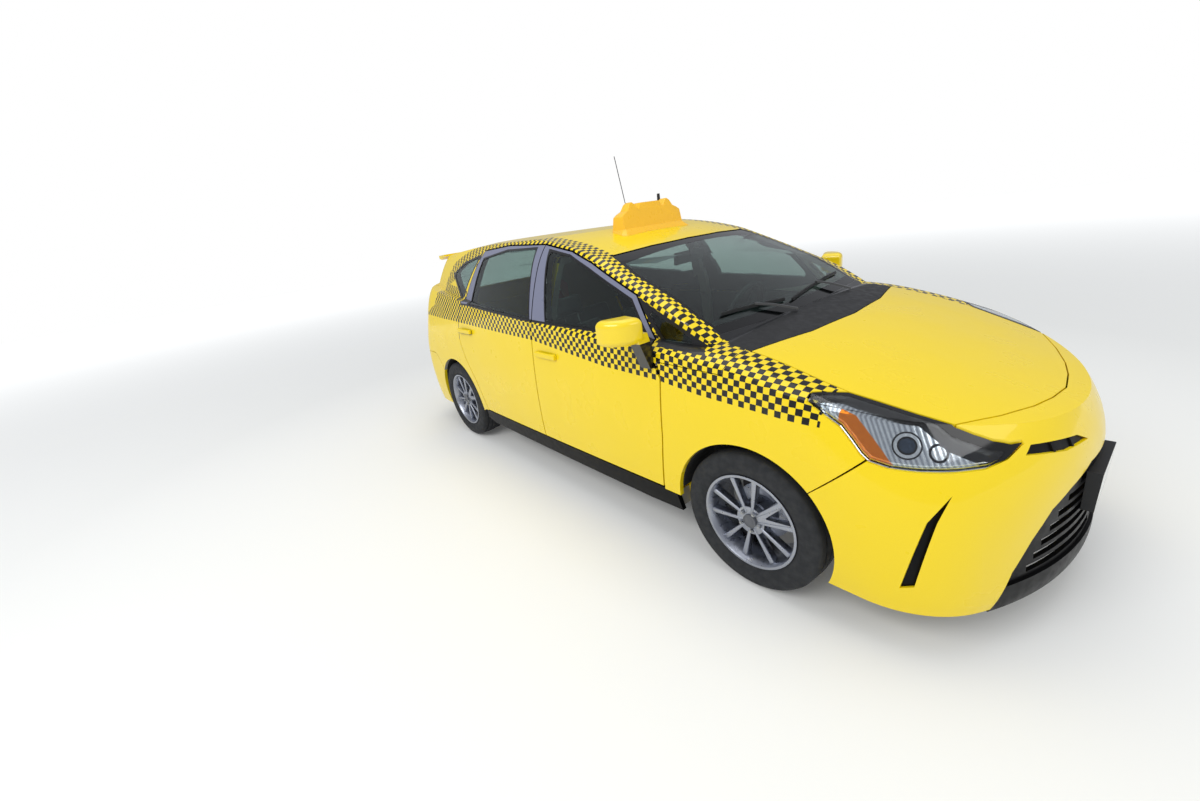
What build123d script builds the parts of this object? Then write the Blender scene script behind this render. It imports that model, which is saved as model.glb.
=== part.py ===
"""A compact estate taxi cab at full size: body panels, doors, glass, wheels, underside and cabin.

Millimetres. +X is forward, +Y is left, +Z is up. The origin is on the ground under the middle of the car.
"""
from build123d import *
import os
from math import cos, hypot, radians, sin, sqrt

os.makedirs("parts", exist_ok=True)

# Overall places
FRONT_AXLE_X = 1372.5
WHEELBASE = 2780.0
REAR_AXLE_X = FRONT_AXLE_X - WHEELBASE
TRACK = 1530.0
WHEEL_Y = TRACK / 2
HALF_SPAN = 1000.0
CAR_TOP = 1750.0

# Tyre and wheel
TYRE_RADIUS = 326.0
TYRE_WIDTH = 205.0
RIM_LIP_RADIUS = 217.0
RIM_WIDTH = 176.0
SPOKE_PAIRS = 5
# Outline of one pair of spokes in the wheel's face; columns: distance out, distance across
SPOKE_PAIR = ((36, -20), (192, -68), (199, -43), (84, -3), (84, 3), (199, 43), (192, 68), (36, 20))
HUB_RADIUS = 66.0
HUB_BORE = 18.0
DISC_RADIUS = 128.0
DISC_THICKNESS = 12.0
AXLE_CLEARANCE = 0.3

# Panels, gaps and glass
SKIN = 24.0
WALL_LOW = 72.0
WALL_HIGH = 48.0
PANEL_GAP = 5.0
DOOR_GAP = 8.0
SEAT_GAP = 0.3
GLASS_SINK = 4.0
GLASS_THICKNESS = 5.0
DOOR_OUTER_LAYER = 10.0
DOOR_EDGE_RELIEF = 26.0
POST_DEPTH = 90.0
POST_THICKNESS = 42.0
ARCH_RADIUS = 365.0

# Plan outlines of the lower body by height
# columns: height, nose, front radius, front corner, half width, side bow radius, tail, rear radius, rear corner
LOWER_PLANS = (
    (150, 2296, 1350, 340, 846, 80000, -2276, 3000, 330),
    (270, 2318, 1300, 380, 870, 80000, -2308, 3000, 345),
    (560, 2300, 1180, 450, 887.5, 80000, -2322.5, 3000, 360),
    (720, 2262, 1050, 520, 886, 80000, -2306, 2800, 370),
    (900, 2150, 1000, 560, 876, 60000, -2264, 2600, 380),
    (1080, 2060, 1000, 560, 858, 30000, -2232, 2600, 380),
    (1260, 1980, 1000, 560, 832, 13000, -2192, 2600, 380),
)
LOWER_BOW_X = -60.0
# Plan outlines of the cabin by height, same columns
UPPER_PLANS = (
    (960, 1560, 2300, 90, 866, 8800, -2254, 2200, 260),
    (1150, 1125, 2200, 90, 826, 8800, -2208, 2200, 260),
    (1330, 705, 2000, 90, 752, 8800, -2128, 2100, 260),
    (1460, 390, 1850, 90, 674, 8800, -2048, 2000, 250),
    (1540, 186, 1800, 90, 596, 8800, -1977, 2000, 240),
)
UPPER_BOW_X = -300.0
CORNER_SHRINK = 0.9
CORNER_LEAST = 6.0
# Belt sections and bonnet sections; columns: place along the car, crown height, half width, shoulder radius
BELT_SECTIONS = (
    (-2400, 1290, 905, 110),
    (1120, 1076, 900, 150),
)
HOOD_SECTIONS = (
    (1120, 1076, 900, 150),
    (1400, 1036, 896, 150),
    (1760, 934, 884, 130),
    (2060, 838, 800, 100),
    (2360, 735, 640, 90),
)
HOOD_CROWN_RADIUS = 9000.0
HOOD_FOOT = 60.0
# Roof crown; the peak, the falls before and behind it, and the sideways crown
ROOF_PEAK = (-450.0, 1572.0)
ROOF_FRONT_RADIUS = 2900.0
ROOF_REAR_RADIUS = 14000.0
ROOF_SIDE_RADIUS = 6000.0
ROOF_ENDS = (1600.0, -2400.0)


def on_circle(centre, radius, towards):
    """Point of a circle on the way from its centre to another point."""
    dx = towards[0] - centre[0]
    dy = towards[1] - centre[1]
    reach = hypot(dx, dy)
    return (centre[0] + radius * dx / reach, centre[1] + radius * dy / reach)


def corner_centre(end, end_radius, side, side_radius, corner, sign):
    """Centre of a corner arc that touches an end arc and a side arc from inside."""
    gap = hypot(side[0] - end[0], side[1] - end[1])
    to_end = end_radius - corner
    to_side = side_radius - corner
    along = (to_end ** 2 - to_side ** 2 + gap ** 2) / (2 * gap)
    across = sqrt(to_end ** 2 - along ** 2)
    ux = (side[0] - end[0]) / gap
    uy = (side[1] - end[1]) / gap
    foot = (end[0] + along * ux, end[1] + along * uy)
    choices = ((foot[0] - across * uy, foot[1] + across * ux), (foot[0] + across * uy, foot[1] - across * ux))
    return max(choices, key=lambda point: sign * point[0])


def plan_outline(height, nose, front_r, front_c, half, side_r, tail, rear_r, rear_c, bow_x, inset):
    """Closed plan outline at one height: bowed ends and sides joined by tangent corners."""
    nose -= inset
    tail += inset
    half -= inset
    front_r -= inset
    rear_r -= inset
    side_r -= inset
    front_c = max(front_c - inset * CORNER_SHRINK, CORNER_LEAST)
    rear_c = max(rear_c - inset * CORNER_SHRINK, CORNER_LEAST)
    side = (bow_x, half - side_r)
    front = (nose - front_r, 0.0)
    rear = (tail + rear_r, 0.0)
    front_mid = corner_centre(front, front_r, side, side_r, front_c, 1)
    rear_mid = corner_centre(rear, rear_r, side, side_r, rear_c, -1)
    a = on_circle(front, front_r, front_mid)
    b = on_circle(side, side_r, front_mid)
    c = on_circle(side, side_r, rear_mid)
    d = on_circle(rear, rear_r, rear_mid)
    ab = on_circle(front_mid, front_c, ((a[0] + b[0]) / 2, (a[1] + b[1]) / 2))
    cd = on_circle(rear_mid, rear_c, ((c[0] + d[0]) / 2, (c[1] + d[1]) / 2))
    with BuildSketch(Plane.XY.offset(height)) as plan:
        with BuildLine():
            ThreePointArc((a[0], -a[1]), (nose, 0), a)
            ThreePointArc(a, ab, b)
            ThreePointArc(b, (bow_x, half), c)
            ThreePointArc(c, cd, d)
            ThreePointArc(d, (tail, 0), (d[0], -d[1]))
            ThreePointArc((d[0], -d[1]), (cd[0], -cd[1]), (c[0], -c[1]))
            ThreePointArc((c[0], -c[1]), (bow_x, -half), (b[0], -b[1]))
            ThreePointArc((b[0], -b[1]), (ab[0], -ab[1]), (a[0], -a[1]))
        make_face()
    return plan.sketch


def hood_outline(place, crown, half, shoulder, inset):
    """Cross-section under the bonnet surface: flat crown, round shoulders, straight sides."""
    crown -= inset
    half -= inset
    centre = crown - HOOD_CROWN_RADIUS
    shoulder_y = half - shoulder
    shoulder_z = centre + sqrt((HOOD_CROWN_RADIUS - shoulder) ** 2 - shoulder_y ** 2)
    join = on_circle((0.0, centre), HOOD_CROWN_RADIUS, (shoulder_y, shoulder_z))
    edge = (half, shoulder_z)
    middle = on_circle((shoulder_y, shoulder_z), shoulder, ((join[0] + edge[0]) / 2, (join[1] + edge[1]) / 2))
    with BuildSketch(Plane.YZ.offset(place)) as section:
        with BuildLine():
            Polyline(edge, (half, HOOD_FOOT), (-half, HOOD_FOOT), (-edge[0], edge[1]))
            ThreePointArc((-edge[0], edge[1]), (-middle[0], middle[1]), (-join[0], join[1]))
            ThreePointArc((-join[0], join[1]), (0, crown), join)
            ThreePointArc(join, middle, edge)
        make_face()
    return section.sketch


def lower_form(inset):
    """Solid of the lower body up to the belt and bonnet, moved in by an inset."""
    with BuildPart() as plan:
        for row in LOWER_PLANS:
            add(plan_outline(*row, LOWER_BOW_X, inset))
        loft()
    with BuildPart() as top:
        for row in HOOD_SECTIONS:
            add(hood_outline(*row, inset))
        loft()
        for row in BELT_SECTIONS:
            add(hood_outline(*row, inset))
        loft(ruled=True)
    with BuildPart() as form:
        add(plan.part)
        add(top.part, mode=Mode.INTERSECT)
    return form.part


def upper_form(inset):
    """Solid of the cabin above the belt, moved in by an inset."""
    peak_x = ROOF_PEAK[0]
    peak_z = ROOF_PEAK[1] - inset
    foot_z = UPPER_PLANS[0][0] - inset

    def fall(x, radius):
        return peak_z - radius + sqrt(radius ** 2 - (x - peak_x) ** 2)

    with BuildPart() as plan:
        for row in UPPER_PLANS:
            add(plan_outline(*row, UPPER_BOW_X, inset))
        loft()
    front_x, rear_x = ROOF_ENDS
    front_mid = (front_x + peak_x) / 2
    rear_mid = (rear_x + peak_x) / 2
    axis_z = ROOF_PEAK[1] - ROOF_SIDE_RADIUS
    half_turn = 10.0
    with BuildPart() as roof:
        with BuildSketch(Plane.XZ):
            with BuildLine():
                ThreePointArc(
                    (front_x, fall(front_x, ROOF_FRONT_RADIUS)),
                    (front_mid, fall(front_mid, ROOF_FRONT_RADIUS)),
                    (peak_x, peak_z),
                )
                ThreePointArc(
                    (peak_x, peak_z),
                    (rear_mid, fall(rear_mid, ROOF_REAR_RADIUS)),
                    (rear_x, fall(rear_x, ROOF_REAR_RADIUS)),
                )
                Polyline(
                    (rear_x, fall(rear_x, ROOF_REAR_RADIUS)),
                    (rear_x, foot_z - ROOF_SIDE_RADIUS / 3),
                    (front_x, foot_z - ROOF_SIDE_RADIUS / 3),
                    (front_x, fall(front_x, ROOF_FRONT_RADIUS)),
                )
            make_face()
        revolve(axis=Axis((0, 0, axis_z), (1, 0, 0)), revolution_arc=2 * half_turn)
    roof_solid = roof.part.rotate(Axis((0, 0, axis_z), (1, 0, 0)), -half_turn)
    with BuildPart() as form:
        add(plan.part)
        add(roof_solid, mode=Mode.INTERSECT)
    return form.part


def body_form(inset, upper_inset):
    """Solid of the whole body, moved in by one inset below the belt and one above it."""
    with BuildPart() as form:
        add(lower_form(inset))
        add(upper_form(upper_inset))
    return form.part


def side_block(points, near=-HALF_SPAN, far=HALF_SPAN, out=0.0):
    """Block over a side-view outline of (x, z) points between two distances to the left."""
    with BuildPart() as block:
        with BuildSketch(Plane.XZ.offset(-near)) as outline:
            with BuildLine():
                Polyline(*points, close=True)
            make_face()
            if out:
                offset(amount=out, kind=Kind.INTERSECTION)
        extrude(amount=near - far)
    return block.part


def plan_block(points, low, high, out=0.0):
    """Block over a plan outline of (x, y) points between two heights."""
    with BuildPart() as block:
        with BuildSketch(Plane.XY.offset(low)) as outline:
            with BuildLine():
                Polyline(*points, close=True)
            make_face()
            if out:
                offset(amount=out, kind=Kind.INTERSECTION)
        extrude(amount=high - low)
    return block.part


def front_block(points, near_x, far_x, out=0.0):
    """Block over a front-view outline of (y, z) points."""
    with BuildPart() as block:
        with BuildSketch(Plane.YZ.offset(near_x)) as outline:
            with BuildLine():
                Polyline(*points, close=True)
            make_face()
            if out:
                offset(amount=out, kind=Kind.INTERSECTION)
        extrude(amount=far_x - near_x)
    return block.part


def cut(base, *tools):
    """A solid less other solids."""
    with BuildPart() as result:
        add(base)
        for tool in tools:
            add(tool, mode=Mode.SUBTRACT)
    return result.part


def common(base, *tools):
    """What a solid shares with other solids."""
    with BuildPart() as result:
        add(base)
        for tool in tools:
            add(tool, mode=Mode.INTERSECT)
    return result.part


def fuse(*solids):
    """Solids joined to one."""
    with BuildPart() as result:
        for solid in solids:
            add(solid)
    return result.part


def flipped(part):
    """Mirror image on the car's other side."""
    return part.mirror(Plane.XZ)


def both_sides(part):
    """A left piece and its right mirror image."""
    return fuse(part, flipped(part))


def save(name, part):
    """Label a finished piece and write it."""
    part.label = name
    export_step(part, f"parts/{name}.step")


def box(low, high):
    """Block between two corners."""
    size = [b - a for a, b in zip(low, high)]
    with BuildPart() as block:
        with Locations(tuple(low)):
            Box(*size, align=(Align.MIN, Align.MIN, Align.MIN))
    return block.part


def wheel_cylinder(x, y0, y1, z, radius):
    """Cylinder along the car's width."""
    with BuildPart() as drum:
        with BuildSketch(Plane.XZ.offset(-y0)):
            with Locations((x, z)):
                Circle(radius)
        extrude(amount=y0 - y1)
    return drum.part


def rod(start, end, radius):
    """Round bar between two points."""
    direction = Vector(*end) - Vector(*start)
    with BuildPart() as bar:
        with BuildSketch(Plane(origin=start, z_dir=direction)):
            Circle(radius)
        extrude(amount=direction.length)
    return bar.part


# The body's skins, from outside in
outer = body_form(0.0, 0.0)
glass_outer = body_form(GLASS_SINK, GLASS_SINK)
glass_inner = body_form(GLASS_SINK + GLASS_THICKNESS, GLASS_SINK + GLASS_THICKNESS)
layer_inner = body_form(DOOR_OUTER_LAYER, DOOR_OUTER_LAYER)
skin_inner = body_form(SKIN, SKIN)
skin_seat = body_form(SKIN + SEAT_GAP, SKIN + SEAT_GAP)
cabin = body_form(WALL_LOW, WALL_HIGH)
post_outer = body_form(POST_DEPTH, POST_DEPTH)
post_inner = body_form(POST_DEPTH + POST_THICKNESS, POST_DEPTH + POST_THICKNESS)
core = body_form(POST_DEPTH + POST_THICKNESS + SEAT_GAP, POST_DEPTH + POST_THICKNESS + SEAT_GAP)
skin = cut(outer, skin_inner)
wall = cut(outer, cabin)
glass_layer = cut(glass_outer, glass_inner)
# Front view of the space that the doors and side panes stand in; columns: distance left, height
SIDE_SPACE = ((780, 0), (780, 980), (690, 1100), (545, 1545), (HALF_SPAN, 1545), (HALF_SPAN, 0))
side_space = front_block(SIDE_SPACE, -1700, 1300)
side_wall = common(wall, side_space)
side_glass = common(glass_layer, side_space)
nose_skin = common(skin, box((850, -HALF_SPAN, 0), (2500, HALF_SPAN, CAR_TOP)))
nose_left = common(nose_skin, box((850, 300, 0), (2500, HALF_SPAN, CAR_TOP)))
tail_space = box((-2500, -HALF_SPAN, 0), (-1500, HALF_SPAN, CAR_TOP))
tail_skin = common(skin, tail_space)
tail_wall = common(wall, tail_space)

# Door outlines in side view
DOOR_BOTTOM = 338.0
FRONT_SHUT_X = 900.0
MIDDLE_SHUT_LOW = -140.0
MIDDLE_SHUT_BELT = -112.0
MIDDLE_SHUT_TOP = -142.0
BELT_BREAK = 1000.0
FRONT_DOOR = (
    (FRONT_SHUT_X, DOOR_BOTTOM),
    (FRONT_SHUT_X + 30, 620),
    (FRONT_SHUT_X + 36, 905),
    (850, 1050),
    (700, 1246),
    (575, 1299),
    (345, 1396),
    (150, 1458),
    (MIDDLE_SHUT_TOP + DOOR_GAP / 2, 1504),
    (MIDDLE_SHUT_BELT + DOOR_GAP / 2, BELT_BREAK),
    (MIDDLE_SHUT_LOW + DOOR_GAP / 2, DOOR_BOTTOM),
)
REAR_DOOR = (
    (MIDDLE_SHUT_LOW - DOOR_GAP / 2, DOOR_BOTTOM),
    (MIDDLE_SHUT_BELT - DOOR_GAP / 2, BELT_BREAK),
    (MIDDLE_SHUT_TOP - DOOR_GAP / 2, 1505),
    (-600, 1518),
    (-960, 1498),
    (-1125, 1160),
    (-1190, 1030),
    (-1200, 880),
    (-1150, 745),
    (-1030, 560),
    (-975, 420),
    (-955, DOOR_BOTTOM),
)
FRONT_DOOR_GLASS = ((32, 1094), (790, 1072), (672, 1222), (560, 1270), (330, 1366), (140, 1436), (-66, 1470))
REAR_DOOR_GLASS = ((-152, 1100), (-1000, 1154), (-925, 1446), (-600, 1488), (-224, 1487))
FRONT_QUARTER_GLASS = ((900, 1056), (1085, 1046), (940, 1118), (762, 1200))
REAR_QUARTER_GLASS = ((-1190, 1182), (-1470, 1345), (-1300, 1415), (-1015, 1462))
WINDOW_CORNER = 22.0


def rounded_side_block(points, radius, near, far, out=0.0):
    """Side-view block with rounded corners."""
    with BuildPart() as block:
        with BuildSketch(Plane.XZ.offset(-near)) as outline:
            with BuildLine():
                Polyline(*points, close=True)
            make_face()
            fillet(outline.vertices(), radius)
            if out:
                offset(amount=out)
        extrude(amount=near - far)
    return block.part


def make_door(points, glass_points, edge_points):
    """One left door with its window cut, and the strip of its inner layer left out."""
    block = common(side_wall, side_block(points, 400.0, HALF_SPAN))
    low = min(z for _, z in points) - DOOR_GAP
    high = max(z for _, z in points) + DOOR_GAP
    edge = [(edge_points[0][0], low)] + list(edge_points) + [(edge_points[-1][0], high)]
    strip = edge + [(edge[-1][0] - 300, high), (edge[0][0] - 300, low)]
    relief = common(layer_inner, side_block([(x + DOOR_EDGE_RELIEF, z) for x, z in strip], 400.0, HALF_SPAN))
    window = rounded_side_block(glass_points, WINDOW_CORNER, 400.0, HALF_SPAN)
    return cut(block, relief, window)


FRONT_DOOR_REAR_EDGE = tuple(reversed(FRONT_DOOR[8:]))
REAR_DOOR_REAR_EDGE = tuple(reversed(REAR_DOOR[4:]))
HANDLE_SIZE = (205.0, 26.0, 34.0)
HANDLE_STAND = 15.0
# Handles: middle along the car, height, depth of the body side there
HANDLES = {"front": (35.0, 905.0), "rear": (-1060.0, 955.0)}


def handle(place, height):
    """Pull handle that stands off the door on two feet, with a cup behind it."""
    length, depth, tall = HANDLE_SIZE
    side = LOWER_PLANS[4][4] - (place - LOWER_BOW_X) ** 2 / (2 * LOWER_PLANS[4][5])
    with BuildPart() as grip:
        with Locations((place, side + HANDLE_STAND - depth / 2 + 6, height)):
            Box(length, depth, tall)
        fillet(grip.edges(), 8)
        with Locations((place, side - 6, height)):
            Box(length * 0.62, 2 * HANDLE_STAND, tall + 2, mode=Mode.SUBTRACT)
    return grip.part


doors = {}
for position, points, glass, edge in (
    ("front", FRONT_DOOR, FRONT_DOOR_GLASS, FRONT_DOOR_REAR_EDGE),
    ("rear", REAR_DOOR, REAR_DOOR_GLASS, REAR_DOOR_REAR_EDGE),
):
    panel = make_door(points, glass, edge)
    place, height = HANDLES[position]
    panel = fuse(panel, handle(place, height))
    pane_block = rounded_side_block(glass, WINDOW_CORNER, 400.0, HALF_SPAN, -SEAT_GAP)
    pane = common(side_glass, pane_block)
    for side, turn in (("left", None), ("right", flipped)):
        save(f"{position}_door_{side}", turn(panel) if turn else panel)
        save(f"{position}_door_glass_{side}", turn(pane) if turn else pane)

# Bonnet, windscreen and lamp outlines
BONNET_PLAN = (
    (1299, 692), (1400, 692), (1600, 700), (1690, 694), (1778, 668), (1887, 638), (1985, 604), (2064, 428), (2120, 265),
    (2148, 140), (2164, 0),
)
BONNET_REAR_PLAN = ((1400, 0), (1375, 350), (1299, 692))
LAMP_PLAN = (
    (1590, 812), (1690, 702), (1778, 676), (1887, 646), (1989, 612), (2034, 578), (2077, 540), (2116, 494), (2136, 458),
    (2400, 458), (2400, 960), (1590, 960),
)
LAMP_SIDE = (
    (1612, 924), (1718, 852), (1759, 806), (1790, 768), (1812, 748), (1868, 730), (1937, 720), (2020, 711), (2080, 709),
    (2116, 724), (2136, 756), (2400, 756), (2400, 1100), (1560, 1100),
)
COWL_TOP = 1072.0
ARCH_FRONT = wheel_cylinder(FRONT_AXLE_X, 400.0, HALF_SPAN, TYRE_RADIUS, ARCH_RADIUS)
ARCH_REAR = wheel_cylinder(REAR_AXLE_X, 400.0, HALF_SPAN, TYRE_RADIUS, ARCH_RADIUS)


def bonnet_block(out):
    """Column over the bonnet's plan outline."""
    half = list(BONNET_PLAN)
    rear = [(x, y) for x, y in BONNET_REAR_PLAN[:-1]]
    mirrored = [(x, -y) for x, y in reversed(half[:-1])]
    rear_mirrored = [(x, -y) for x, y in reversed(rear[1:])]
    return plan_block(half + mirrored + rear_mirrored + rear, 600.0, 1200.0, out)


def lamp_block(out):
    """Block of the left headlamp's region."""
    return common(plan_block(LAMP_PLAN, 600.0, 1200.0, out), side_block(LAMP_SIDE, 300.0, HALF_SPAN, out))


save("bonnet", common(nose_skin, bonnet_block(0.0)))

COWL_REGION = ((1294, 692), (1370, 350), (1395, 0), (1370, -350), (1294, -692), (1180, -692), (1180, 692))


def cowl_block(out):
    """Column over the plenum between bonnet and windscreen."""
    return plan_block(COWL_REGION, 940.0, COWL_TOP, out)


FENDER_SIDE = (
    (FRONT_SHUT_X + DOOR_GAP, 322),
    (FRONT_SHUT_X + 30 + DOOR_GAP, 620),
    (FRONT_SHUT_X + 36 + DOOR_GAP, 905),
    (922, 978),
    (1262, 968),
    (1300, 1130),
    (1812, 1130),
    (1812, 757),
    (1600, 545),
    (1600, 180),
    (1000, 180),
)
fender = cut(
    common(nose_left, side_block(FENDER_SIDE, 300.0, HALF_SPAN)),
    bonnet_block(PANEL_GAP),
    lamp_block(PANEL_GAP),
    cowl_block(PANEL_GAP),
    ARCH_FRONT,
    box((800, 0, 100), (1100, 1000, 322)),
)
fender = fender.solids().sort_by(SortBy.VOLUME)[-1]
with BuildPart() as fender_left:
    add(fender)
save("fender_left", fender_left.part)
save("fender_right", flipped(fender_left.part))

# Front bumper with its openings
GRILLE_HALF = ((618, 178), (556, 326), (482, 425), (396, 512), (302, 556), (154, 602))
GRILLE_FRONT = GRILLE_HALF + tuple((-y, z) for y, z in reversed(GRILLE_HALF))
SLOT_FRONT = ((468, 719), (434, 745), (223, 718), (161, 686), (299, 689))
VENT_SIDE = ((2030, 641), (2012, 556), (1984, 312), (1946, 298), (1988, 556))
BUMPER_LOW = 188.0
BUMPER_SIDE = (
    (1600, BUMPER_LOW),
    (1600, 545 - PANEL_GAP),
    (1812 + PANEL_GAP, 757 - PANEL_GAP),
    (1812 + PANEL_GAP, 1130),
    (2450, 1130),
    (2450, BUMPER_LOW),
)


def slot_and_vent(out):
    """Upper slot and corner vent of the left half."""
    return fuse(front_block(SLOT_FRONT, 2000, 2400, out), side_block(VENT_SIDE, 600.0, HALF_SPAN, out))


bumper = cut(
    common(nose_skin, side_block(BUMPER_SIDE)),
    bonnet_block(PANEL_GAP),
    both_sides(lamp_block(PANEL_GAP)),
    both_sides(ARCH_FRONT),
    front_block(GRILLE_FRONT, 1900, 2500),
    both_sides(slot_and_vent(0.0)),
)
with BuildPart() as front_bumper:
    add(bumper.solids().sort_by(SortBy.VOLUME)[-1])
save("front_bumper", front_bumper.part)

# Dark inserts behind the slots and vents, with two ribs in each slot
front_space = box((1900, -HALF_SPAN, 150), (2500, HALF_SPAN, 800))
inset_layer = cut(common(layer_inner, front_space), skin_inner)
RIB_PLACES = (255.0, 350.0)
RIB_THICKNESS = 9.0
ribs = [box((2100, y - RIB_THICKNESS / 2, 650), (2400, y + RIB_THICKNESS / 2, 780)) for y in RIB_PLACES]
rib_layer = common(cut(common(glass_outer, front_space), skin_inner), slot_and_vent(-SEAT_GAP))
inserts = fuse(common(inset_layer, slot_and_vent(-SEAT_GAP)), *[common(rib_layer, rib) for rib in ribs])
save("bumper_inserts", both_sides(inserts))

# Lower grille: an inset frame with slots over a proud lip
GRILLE_SLOTS = ((305, 960), (345, 900), (385, 830), (425, 750), (465, 670), (505, 560), (545, 400))
SLOT_HEIGHT = 25.0
MULLION = 40.0
LIP_TOP = 275.0
grille_area = front_block(GRILLE_FRONT, 1900, 2500, -SEAT_GAP)
with BuildPart() as lower_grille:
    add(common(inset_layer, grille_area))
    for height, width in GRILLE_SLOTS:
        with Locations((2200, (width + MULLION) / 4, height), (2200, -(width + MULLION) / 4, height)):
            Box(700, (width - MULLION) / 2, SLOT_HEIGHT, mode=Mode.SUBTRACT)
    add(common(skin, grille_area, box((1900, -700, 100), (2400, 700, LIP_TOP))))
save("lower_grille", lower_grille.part)

# Headlamps: a housing behind a clear cover
LAMP_RIM = 6.0
LAMP_FLANGE = 10.0
lamp_region = box((1500, 300, 600), (2400, HALF_SPAN, 1100))
lamp_cover = cut(
    common(nose_left, lamp_block(0.0)),
    common(glass_outer, lamp_region, lamp_block(-LAMP_RIM)),
    bonnet_block(PANEL_GAP),
)
lamp_housing = common(cut(common(skin_seat, lamp_region), cabin), lamp_block(LAMP_FLANGE))
save("headlamp_covers", both_sides(lamp_cover))
save("headlamps", both_sides(lamp_housing))

# Cowl, windscreen and fixed glass
behind_bonnet = cowl_block(0.0)
cowl = common(nose_skin, behind_bonnet, box((1180, -690, 985), (1500, 690, COWL_TOP)))
with BuildPart() as cowl_panel:
    add(cowl.solids().sort_by(SortBy.VOLUME)[-1])
save("cowl_panel", cowl_panel.part)

WINDSCREEN_HALF = ((648, COWL_TOP + SEAT_GAP), (660, 1150), (640, 1330), (590, 1420), (300, 1434))
WINDSCREEN_FRONT = WINDSCREEN_HALF + ((0, 1438),) + tuple((-y, z) for y, z in reversed(WINDSCREEN_HALF))
windscreen_block = front_block(WINDSCREEN_FRONT, 300, 1600)
save("windscreen", common(glass_layer, windscreen_block))

quarter_front = rounded_side_block(FRONT_QUARTER_GLASS, 12.0, 400.0, HALF_SPAN)
quarter_rear = rounded_side_block(REAR_QUARTER_GLASS, 18.0, 400.0, HALF_SPAN)
quarter_panes = fuse(
    common(side_glass, rounded_side_block(FRONT_QUARTER_GLASS, 12.0, 400.0, HALF_SPAN, -SEAT_GAP)),
    common(side_glass, rounded_side_block(REAR_QUARTER_GLASS, 18.0, 400.0, HALF_SPAN, -SEAT_GAP)),
)
save("quarter_glasses", both_sides(quarter_panes))

# Tailgate, tail lamps and rear bumper
TAILGATE_LOW = 700.0
TAILGATE_SIDE = ((-1868, 1700), (-1868, 1440), (-2010, 1180), (-2150, TAILGATE_LOW), (-2500, TAILGATE_LOW), (-2500, 1700))
TAILGATE_REAR = ((-560, 1600), (-640, 1180), (-600, 1000), (-540, TAILGATE_LOW), (540, TAILGATE_LOW), (600, 1000), (640, 1180), (560, 1600))
TAILGATE_GLASS = ((-480, 1425), (-540, 1170), (-500, 1130), (500, 1130), (540, 1170), (480, 1425))


def tailgate_block(out):
    """Region of the tailgate: its outline from behind, limited in side view."""
    with BuildPart() as block:
        with BuildSketch(Plane.YZ.offset(-2500)):
            with BuildLine():
                Polyline(*TAILGATE_REAR, close=True)
            make_face()
            if out:
                offset(amount=out, kind=Kind.INTERSECTION)
        extrude(amount=900)
    return common(block.part, side_block(TAILGATE_SIDE, out=out))


rear_window = front_block(TAILGATE_GLASS, -2500, -1900)
tailgate = cut(common(tail_wall, tailgate_block(0.0)), rear_window)
SPOILER_SIDE = ((-1900, 1480), (-1900, 1495), (-2098, 1486), (-2110, 1474), (-2098, 1462), (-2000, 1452))
SPOILER_PLAN = ((-1895, 540), (-2070, 520), (-2110, 470), (-2110, -470), (-2070, -520), (-1895, -540))
tail_side = common(outer, tail_space)
spoiler = cut(common(side_block(SPOILER_SIDE, -600, 600), plan_block(SPOILER_PLAN, 1400, 1550)), tail_side)
with BuildPart() as tailgate_panel:
    add(tailgate.solids().sort_by(SortBy.VOLUME)[-1])
    add(spoiler.solids().sort_by(SortBy.VOLUME)[-1])
save("tailgate", tailgate_panel.part)
TAILGATE_PANE = tuple((y * 0.999, z) for y, z in TAILGATE_GLASS)
save("tailgate_glass", common(glass_layer, front_block(TAILGATE_PANE, -2500, -1900)))

TAIL_LAMP_SIDE = ((-2040, 1150), (-1900, 1010), (-1940, 850), (-2450, 800), (-2450, 1150))
tail_lamp_block = side_block(TAIL_LAMP_SIDE, 300.0, HALF_SPAN)
tail_lamp = cut(common(tail_skin, tail_lamp_block), tailgate_block(DOOR_GAP))
save("tail_lamps", both_sides(tail_lamp))

REAR_BUMPER_SIDE = ((-1700, 150), (-1700, 600), (-1800, TAILGATE_LOW - PANEL_GAP), (-2500, TAILGATE_LOW - PANEL_GAP), (-2500, 150))
rear_bumper_part = cut(
    common(tail_skin, side_block(REAR_BUMPER_SIDE)),
    ARCH_REAR,
    flipped(ARCH_REAR),
    tailgate_block(DOOR_GAP),
    box((-2500, -1000, 0), (-1500, 1000, 215)),
)
with BuildPart() as rear_bumper:
    add(rear_bumper_part.solids().sort_by(SortBy.VOLUME)[-1])
save("rear_bumper", rear_bumper.part)

# Body shell: roof, pillars, rear quarters, rockers, posts, bulkhead and rails
SHELL_SIDE = (
    (1262 - 2, 972), (1280, 1070), (1480, 1120), (1480, CAR_TOP), (-2500, CAR_TOP), (-2500, TAILGATE_LOW), (-1795, TAILGATE_LOW),
    (-1695, 600), (-1695, 240), (-1200, 240), (-1000, DOOR_BOTTOM - DOOR_GAP), (915, DOOR_BOTTOM - DOOR_GAP), (915, 982),
)
shell_wall = common(wall, side_block(SHELL_SIDE), box((-2500, 0, 0), (1500, HALF_SPAN, CAR_TOP)))
side_openings = common(
    fuse(
        side_block(FRONT_DOOR, 400.0, HALF_SPAN, DOOR_GAP),
        side_block(REAR_DOOR, 400.0, HALF_SPAN, DOOR_GAP),
        quarter_front,
        quarter_rear,
    ),
    side_space,
)
shell_wall = cut(
    shell_wall,
    side_openings,
    ARCH_REAR,
    tail_lamp_block,
    tailgate_block(DOOR_GAP),
    windscreen_block,
    bonnet_block(PANEL_GAP),
    behind_bonnet,
    box((800, -1000, 0), (1500, 1000, 962)),
)
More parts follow.
